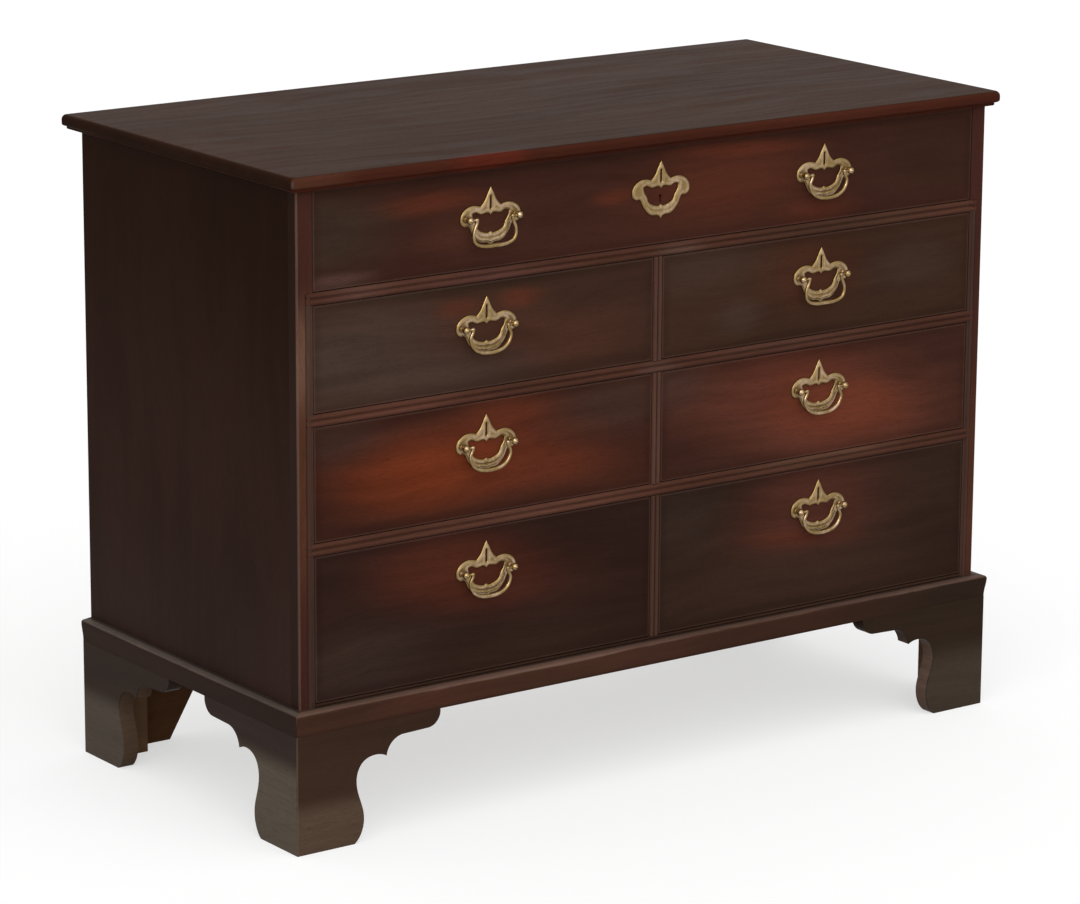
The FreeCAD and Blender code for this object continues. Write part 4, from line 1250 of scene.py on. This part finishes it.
def section_mesh():
    """The section as one face in the XZ plane, facing the way it is pushed from."""
    points = [(out / 1000, 0.0, height / 1000) for out, height in plinth_section()]
    mesh = bpy.data.meshes.new("plinth_section")
    mesh.from_pydata(points, [], [tuple(reversed(range(len(points))))])
    return mesh


def moulding_tree():
    """The source face extruded along +Y, sheared at its ends, turned and put in place."""
    tree, given = open_tree("moulding", Length=1.0, StartMitre=1.0, EndMitre=1.0, Turn=0.0,
                            Place=(0.0, 0.0, 0.0))
    along = add_node(tree, "ShaderNodeCombineXYZ", {"Y": given["Length"]}).outputs[0]
    body = add_node(tree, "GeometryNodeExtrudeMesh",
                    {"Mesh": given["Source"], "Offset": along, "Individual": False,
                     "Offset Scale": 1.0})
    closed = joined(tree, body.outputs[0],
                    add_node(tree, "GeometryNodeFlipFaces",
                             {"Mesh": given["Source"]}).outputs[0])
    welded = add_node(tree, "GeometryNodeMergeByDistance",
                      {"Geometry": closed, "Distance": 0.000001})
    axes = add_node(tree, "ShaderNodeSeparateXYZ",
                    {"Vector": tree.nodes.new("GeometryNodeInputPosition").outputs[0]}).outputs
    at_end = number(tree, "DIVIDE", axes["Y"], given["Length"])
    at_start = number(tree, "SUBTRACT", 1.0, at_end)
    shear = number(tree, "MULTIPLY", axes["X"],
                   number(tree, "SUBTRACT", number(tree, "MULTIPLY", at_end, given["EndMitre"]),
                          number(tree, "MULTIPLY", at_start, given["StartMitre"])))
    offset = add_node(tree, "ShaderNodeCombineXYZ", {"Y": shear}).outputs[0]
    sheared = add_node(tree, "GeometryNodeSetPosition",
                       {"Geometry": welded.outputs[0], "Offset": offset})
    angle = add_node(tree, "ShaderNodeCombineXYZ", {"Z": given["Turn"]}).outputs[0]
    placed = add_node(tree, "GeometryNodeTransform",
                      {"Geometry": sheared.outputs[0], "Rotation": angle,
                       "Translation": given["Place"]})
    close_tree(tree, placed.outputs[0], given)
    return tree


plinth_runs = {
    "plinth_front": dict(Length=2 * CASE_HALF / 1000, StartMitre=1.0, EndMitre=1.0,
                         Turn=-math.pi / 2, Place=(-CASE_HALF / 1000, FRONT_Y / 1000, 0.0)),
    "plinth_right": dict(Length=(CASE_BACK - FRONT_Y) / 1000, StartMitre=1.0, EndMitre=0.0,
                         Turn=0.0, Place=(CASE_HALF / 1000, FRONT_Y / 1000, 0.0)),
    "plinth_left": dict(Length=(CASE_BACK - FRONT_Y) / 1000, StartMitre=0.0, EndMitre=1.0,
                        Turn=math.pi, Place=(-CASE_HALF / 1000, CASE_BACK / 1000, 0.0)),
}
moulding = moulding_tree()
for node, sizes in plinth_runs.items():
    finish = mahogany_plinth if node == "plinth_front" else mahogany_plinth_side
    mesh = run_tree(moulding, section_mesh(), finish, **sizes)
    piece = add_piece(node + "_moulding", mesh, "carcase", "mahogany", node)
    soften(piece, MOULDING_WIDTH)

# %% [markdown]
# ## Nails in the back
#
# The back boards were nailed to the case, to the top frame and to each tier of dustboard, with
# hand-forged nails whose four-sided heads never sit quite square. They are a handful of points
# with one tiny faceted head on each, turned and sized at random with a fixed seed, so that the
# back is the same every time the script runs.

# %% Forged nails


def nail_tree():
    """A four-sided rose head at every point of the source, each turned and sized at random."""
    tree, given = open_tree("nails", Radius=0.0034, Height=0.0013, Seed=21)
    head = add_node(tree, "GeometryNodeMeshCone",
                    {"Vertices": 8, "Side Segments": 2, "Radius Bottom": given["Radius"],
                     "Radius Top": number(tree, "MULTIPLY", given["Radius"], 0.25),
                     "Depth": given["Height"]})
    sunk = laid_back(tree, head.outputs[0], -0.0001)
    turn = random_between(tree, 0.0, math.pi, given["Seed"])
    size = random_between(tree, 0.8, 1.15, given["Seed"])
    close_tree(tree, at_points(tree, given, sunk, turn, size), given)
    return tree


IRON_BLACK = (0.030, 0.024, 0.020)
IRON_RUST = (0.085, 0.040, 0.022)


def iron(name):
    """Old iron: brown-black rust with a dull, rough face."""
    material, tree, shader = new_material(name)
    place = add_node(tree, "ShaderNodeTexCoord").outputs["Object"]
    rust = even_noise(tree, place, 420.0, 3.0)
    colour = mix_colour(tree, fade(tree, rust, 0.35, 0.65), IRON_BLACK, IRON_RUST)
    rough = fade(tree, rust, 0.3, 0.7, 0.55, 0.85)
    drive_shader(tree, shader, colour, rough, rust, 0.5, 0.0003)
    shader.inputs["Metallic"].default_value = 0.6
    return material


NAIL_ROWS = (176.0, 368.0, 526.0, 672.0, 797.0)
NAIL_SHARES = (0.16, 0.84)
BACK_BOARDS = 4
BOARD_WIDTH = 259.8
BOARDS_LEFT = -BACK_BOARDS * BOARD_WIDTH / 2
DRIFT_ACROSS, DRIFT_UP = 7, 4
nail_places = []
for row, height in enumerate(NAIL_ROWS):
    for board in range(BACK_BOARDS):
        for share in NAIL_SHARES:
            x = BOARDS_LEFT + (board + share) * BOARD_WIDTH
            wander = Vector((x, height, 3.0 * row)) * 0.05
            across = DRIFT_ACROSS * noise.noise(wander)
            up = DRIFT_UP * noise.noise(wander + Vector((9, 9, 9)))
            nail_places.append((x + across, CASE_BACK, height + up))
nails = run_tree(nail_tree(), point_mesh("nail_places", nail_places), iron("forged_iron"))
nails.shade_flat()
# The part has no slot for iron: brass is its only metal.
add_piece("back_nails", nails, "carcase", "brass")
print("%d nails" % len(nail_places))

# %% [markdown]
# ## The floor
#
# The chest stands on pale paper that runs up behind it without a line. The paper has to look
# white and still hold a soft shadow under the chest. Both come from its own material: its colour
# is a middling grey that the lamps light and shade, and a lift that only the camera, metal and
# glass can see brings the lit part up to white. Turning the lamps up instead would bleach the
# wood.

# %% Paper floor


def seen_directly(tree):
    """1 for rays from the camera and for rays off metal or through glass, else 0."""
    path = add_node(tree, "ShaderNodeLightPath")
    bright = number(tree, "MAXIMUM", path.outputs["Is Camera Ray"], path.outputs["Is Glossy Ray"])
    return number(tree, "MAXIMUM", bright, path.outputs["Is Transmission Ray"])


def add_floor(reach, grey, lift_strength):
    """A wide sheet of paper at the height of the feet."""
    mesh = bpy.data.meshes.new("floor")
    mesh.from_pydata([(-reach, -reach, 0), (reach, -reach, 0), (reach, reach, 0),
                      (-reach, reach, 0)], [], [(0, 1, 2, 3)])
    paper, tree, shader = new_material("floor_paper")
    shader.inputs["Base Color"].default_value = (grey, grey, grey, 1.0)
    shader.inputs["Roughness"].default_value = 0.9
    shader.inputs["Specular IOR Level"].default_value = 0.0
    strength = number(tree, "MULTIPLY", seen_directly(tree), lift_strength)
    lift = add_node(tree, "ShaderNodeEmission", {"Strength": strength})
    total = add_node(tree, "ShaderNodeAddShader")
    tree.links.new(shader.outputs[0], total.inputs[0])
    tree.links.new(lift.outputs[0], total.inputs[1])
    tree.links.new(total.outputs[0], tree.nodes["Material Output"].inputs["Surface"])
    mesh.materials.append(paper)
    return put_in_scene("floor", mesh)


add_floor(reach=40.0, grey=0.45, lift_strength=0.585)
print("floor laid")

# %% [markdown]
# ## Light
#
# A studio for furniture has one broad, soft source above and in front, and pale walls that fill
# the rest. The world gives the fill: it lights the chest at a plain level, and shows white to
# the camera and in metal. A very wide sun is the broad source, because it lights the near and
# the far end alike. A small lamp to the left puts a spark on brass and on rounded edges.

# %% World and lamps

world = bpy.data.worlds.new("studio")
bpy.context.scene.world = world
world.use_nodes = True
FILL = 0.66
tree = world.node_tree
strength = number(tree, "ADD", number(tree, "MULTIPLY", seen_directly(tree), 1.0 - FILL), FILL)
tree.links.new(strength, tree.nodes["Background"].inputs["Strength"])
tree.nodes["Background"].inputs["Color"].default_value = (1.0, 1.0, 1.0, 1.0)


def lamp(name, kind, energy, place, aim, **settings):
    """One lamp that shines from a place towards a point."""
    data = bpy.data.lights.new(name, kind)
    data.energy = energy
    for key, value in settings.items():
        setattr(data, key, value)
    holder = put_in_scene(name, data)
    holder.location = place
    holder.rotation_euler = (Vector(aim) - Vector(place)).to_track_quat("-Z", "Y").to_euler()
    return holder


lamp("broad_light", "SUN", energy=1.8, place=(-0.9, -2.6, 2.2), aim=(0.0, 0.0, 0.0),
     angle=math.radians(90))
glint = lamp("glint_light", "AREA", energy=52.0, place=(-1.7, -2.6, 1.9), aim=(0.0, -0.25, 0.5),
             size=0.8)
glint.visible_diffuse = False
print("world and two lamps")

# %% [markdown]
# ## Camera
#
# The chest is seen from its left front corner, a little above the top, through a long lens: the
# verticals stay almost parallel and the far corner hardly shrinks. The camera's turn is built
# from the direction it looks in, with a trace of roll, as a camera held by hand has.

# %% Camera

CAMERA_PLACE = (-3.3197, -4.5646, 1.7879)
LENS, SENSOR_WIDTH, FARTHEST = 150.34, 36.0, 200.0
YAW, PITCH, ROLL = 0.629, 0.2463, 0.006

camera = put_in_scene("camera", bpy.data.cameras.new("camera"))
camera.data.sensor_width = SENSOR_WIDTH
camera.data.lens = LENS
camera.data.clip_end = FARTHEST
forward = Vector((math.sin(YAW) * math.cos(PITCH), math.cos(YAW) * math.cos(PITCH),
                  -math.sin(PITCH)))
level_right = Vector((math.cos(YAW), -math.sin(YAW), 0.0))
level_up = level_right.cross(forward)
right = math.cos(ROLL) * level_right + math.sin(ROLL) * level_up
up = math.cos(ROLL) * level_up - math.sin(ROLL) * level_right
turn = Matrix((right, up, -forward)).transposed().to_4x4()
camera.matrix_world = Matrix.Translation(CAMERA_PLACE) @ turn
bpy.context.scene.camera = camera
bpy.context.scene.view_settings.view_transform = "Standard"
print("camera %.2f m away" % camera.matrix_world.translation.length)
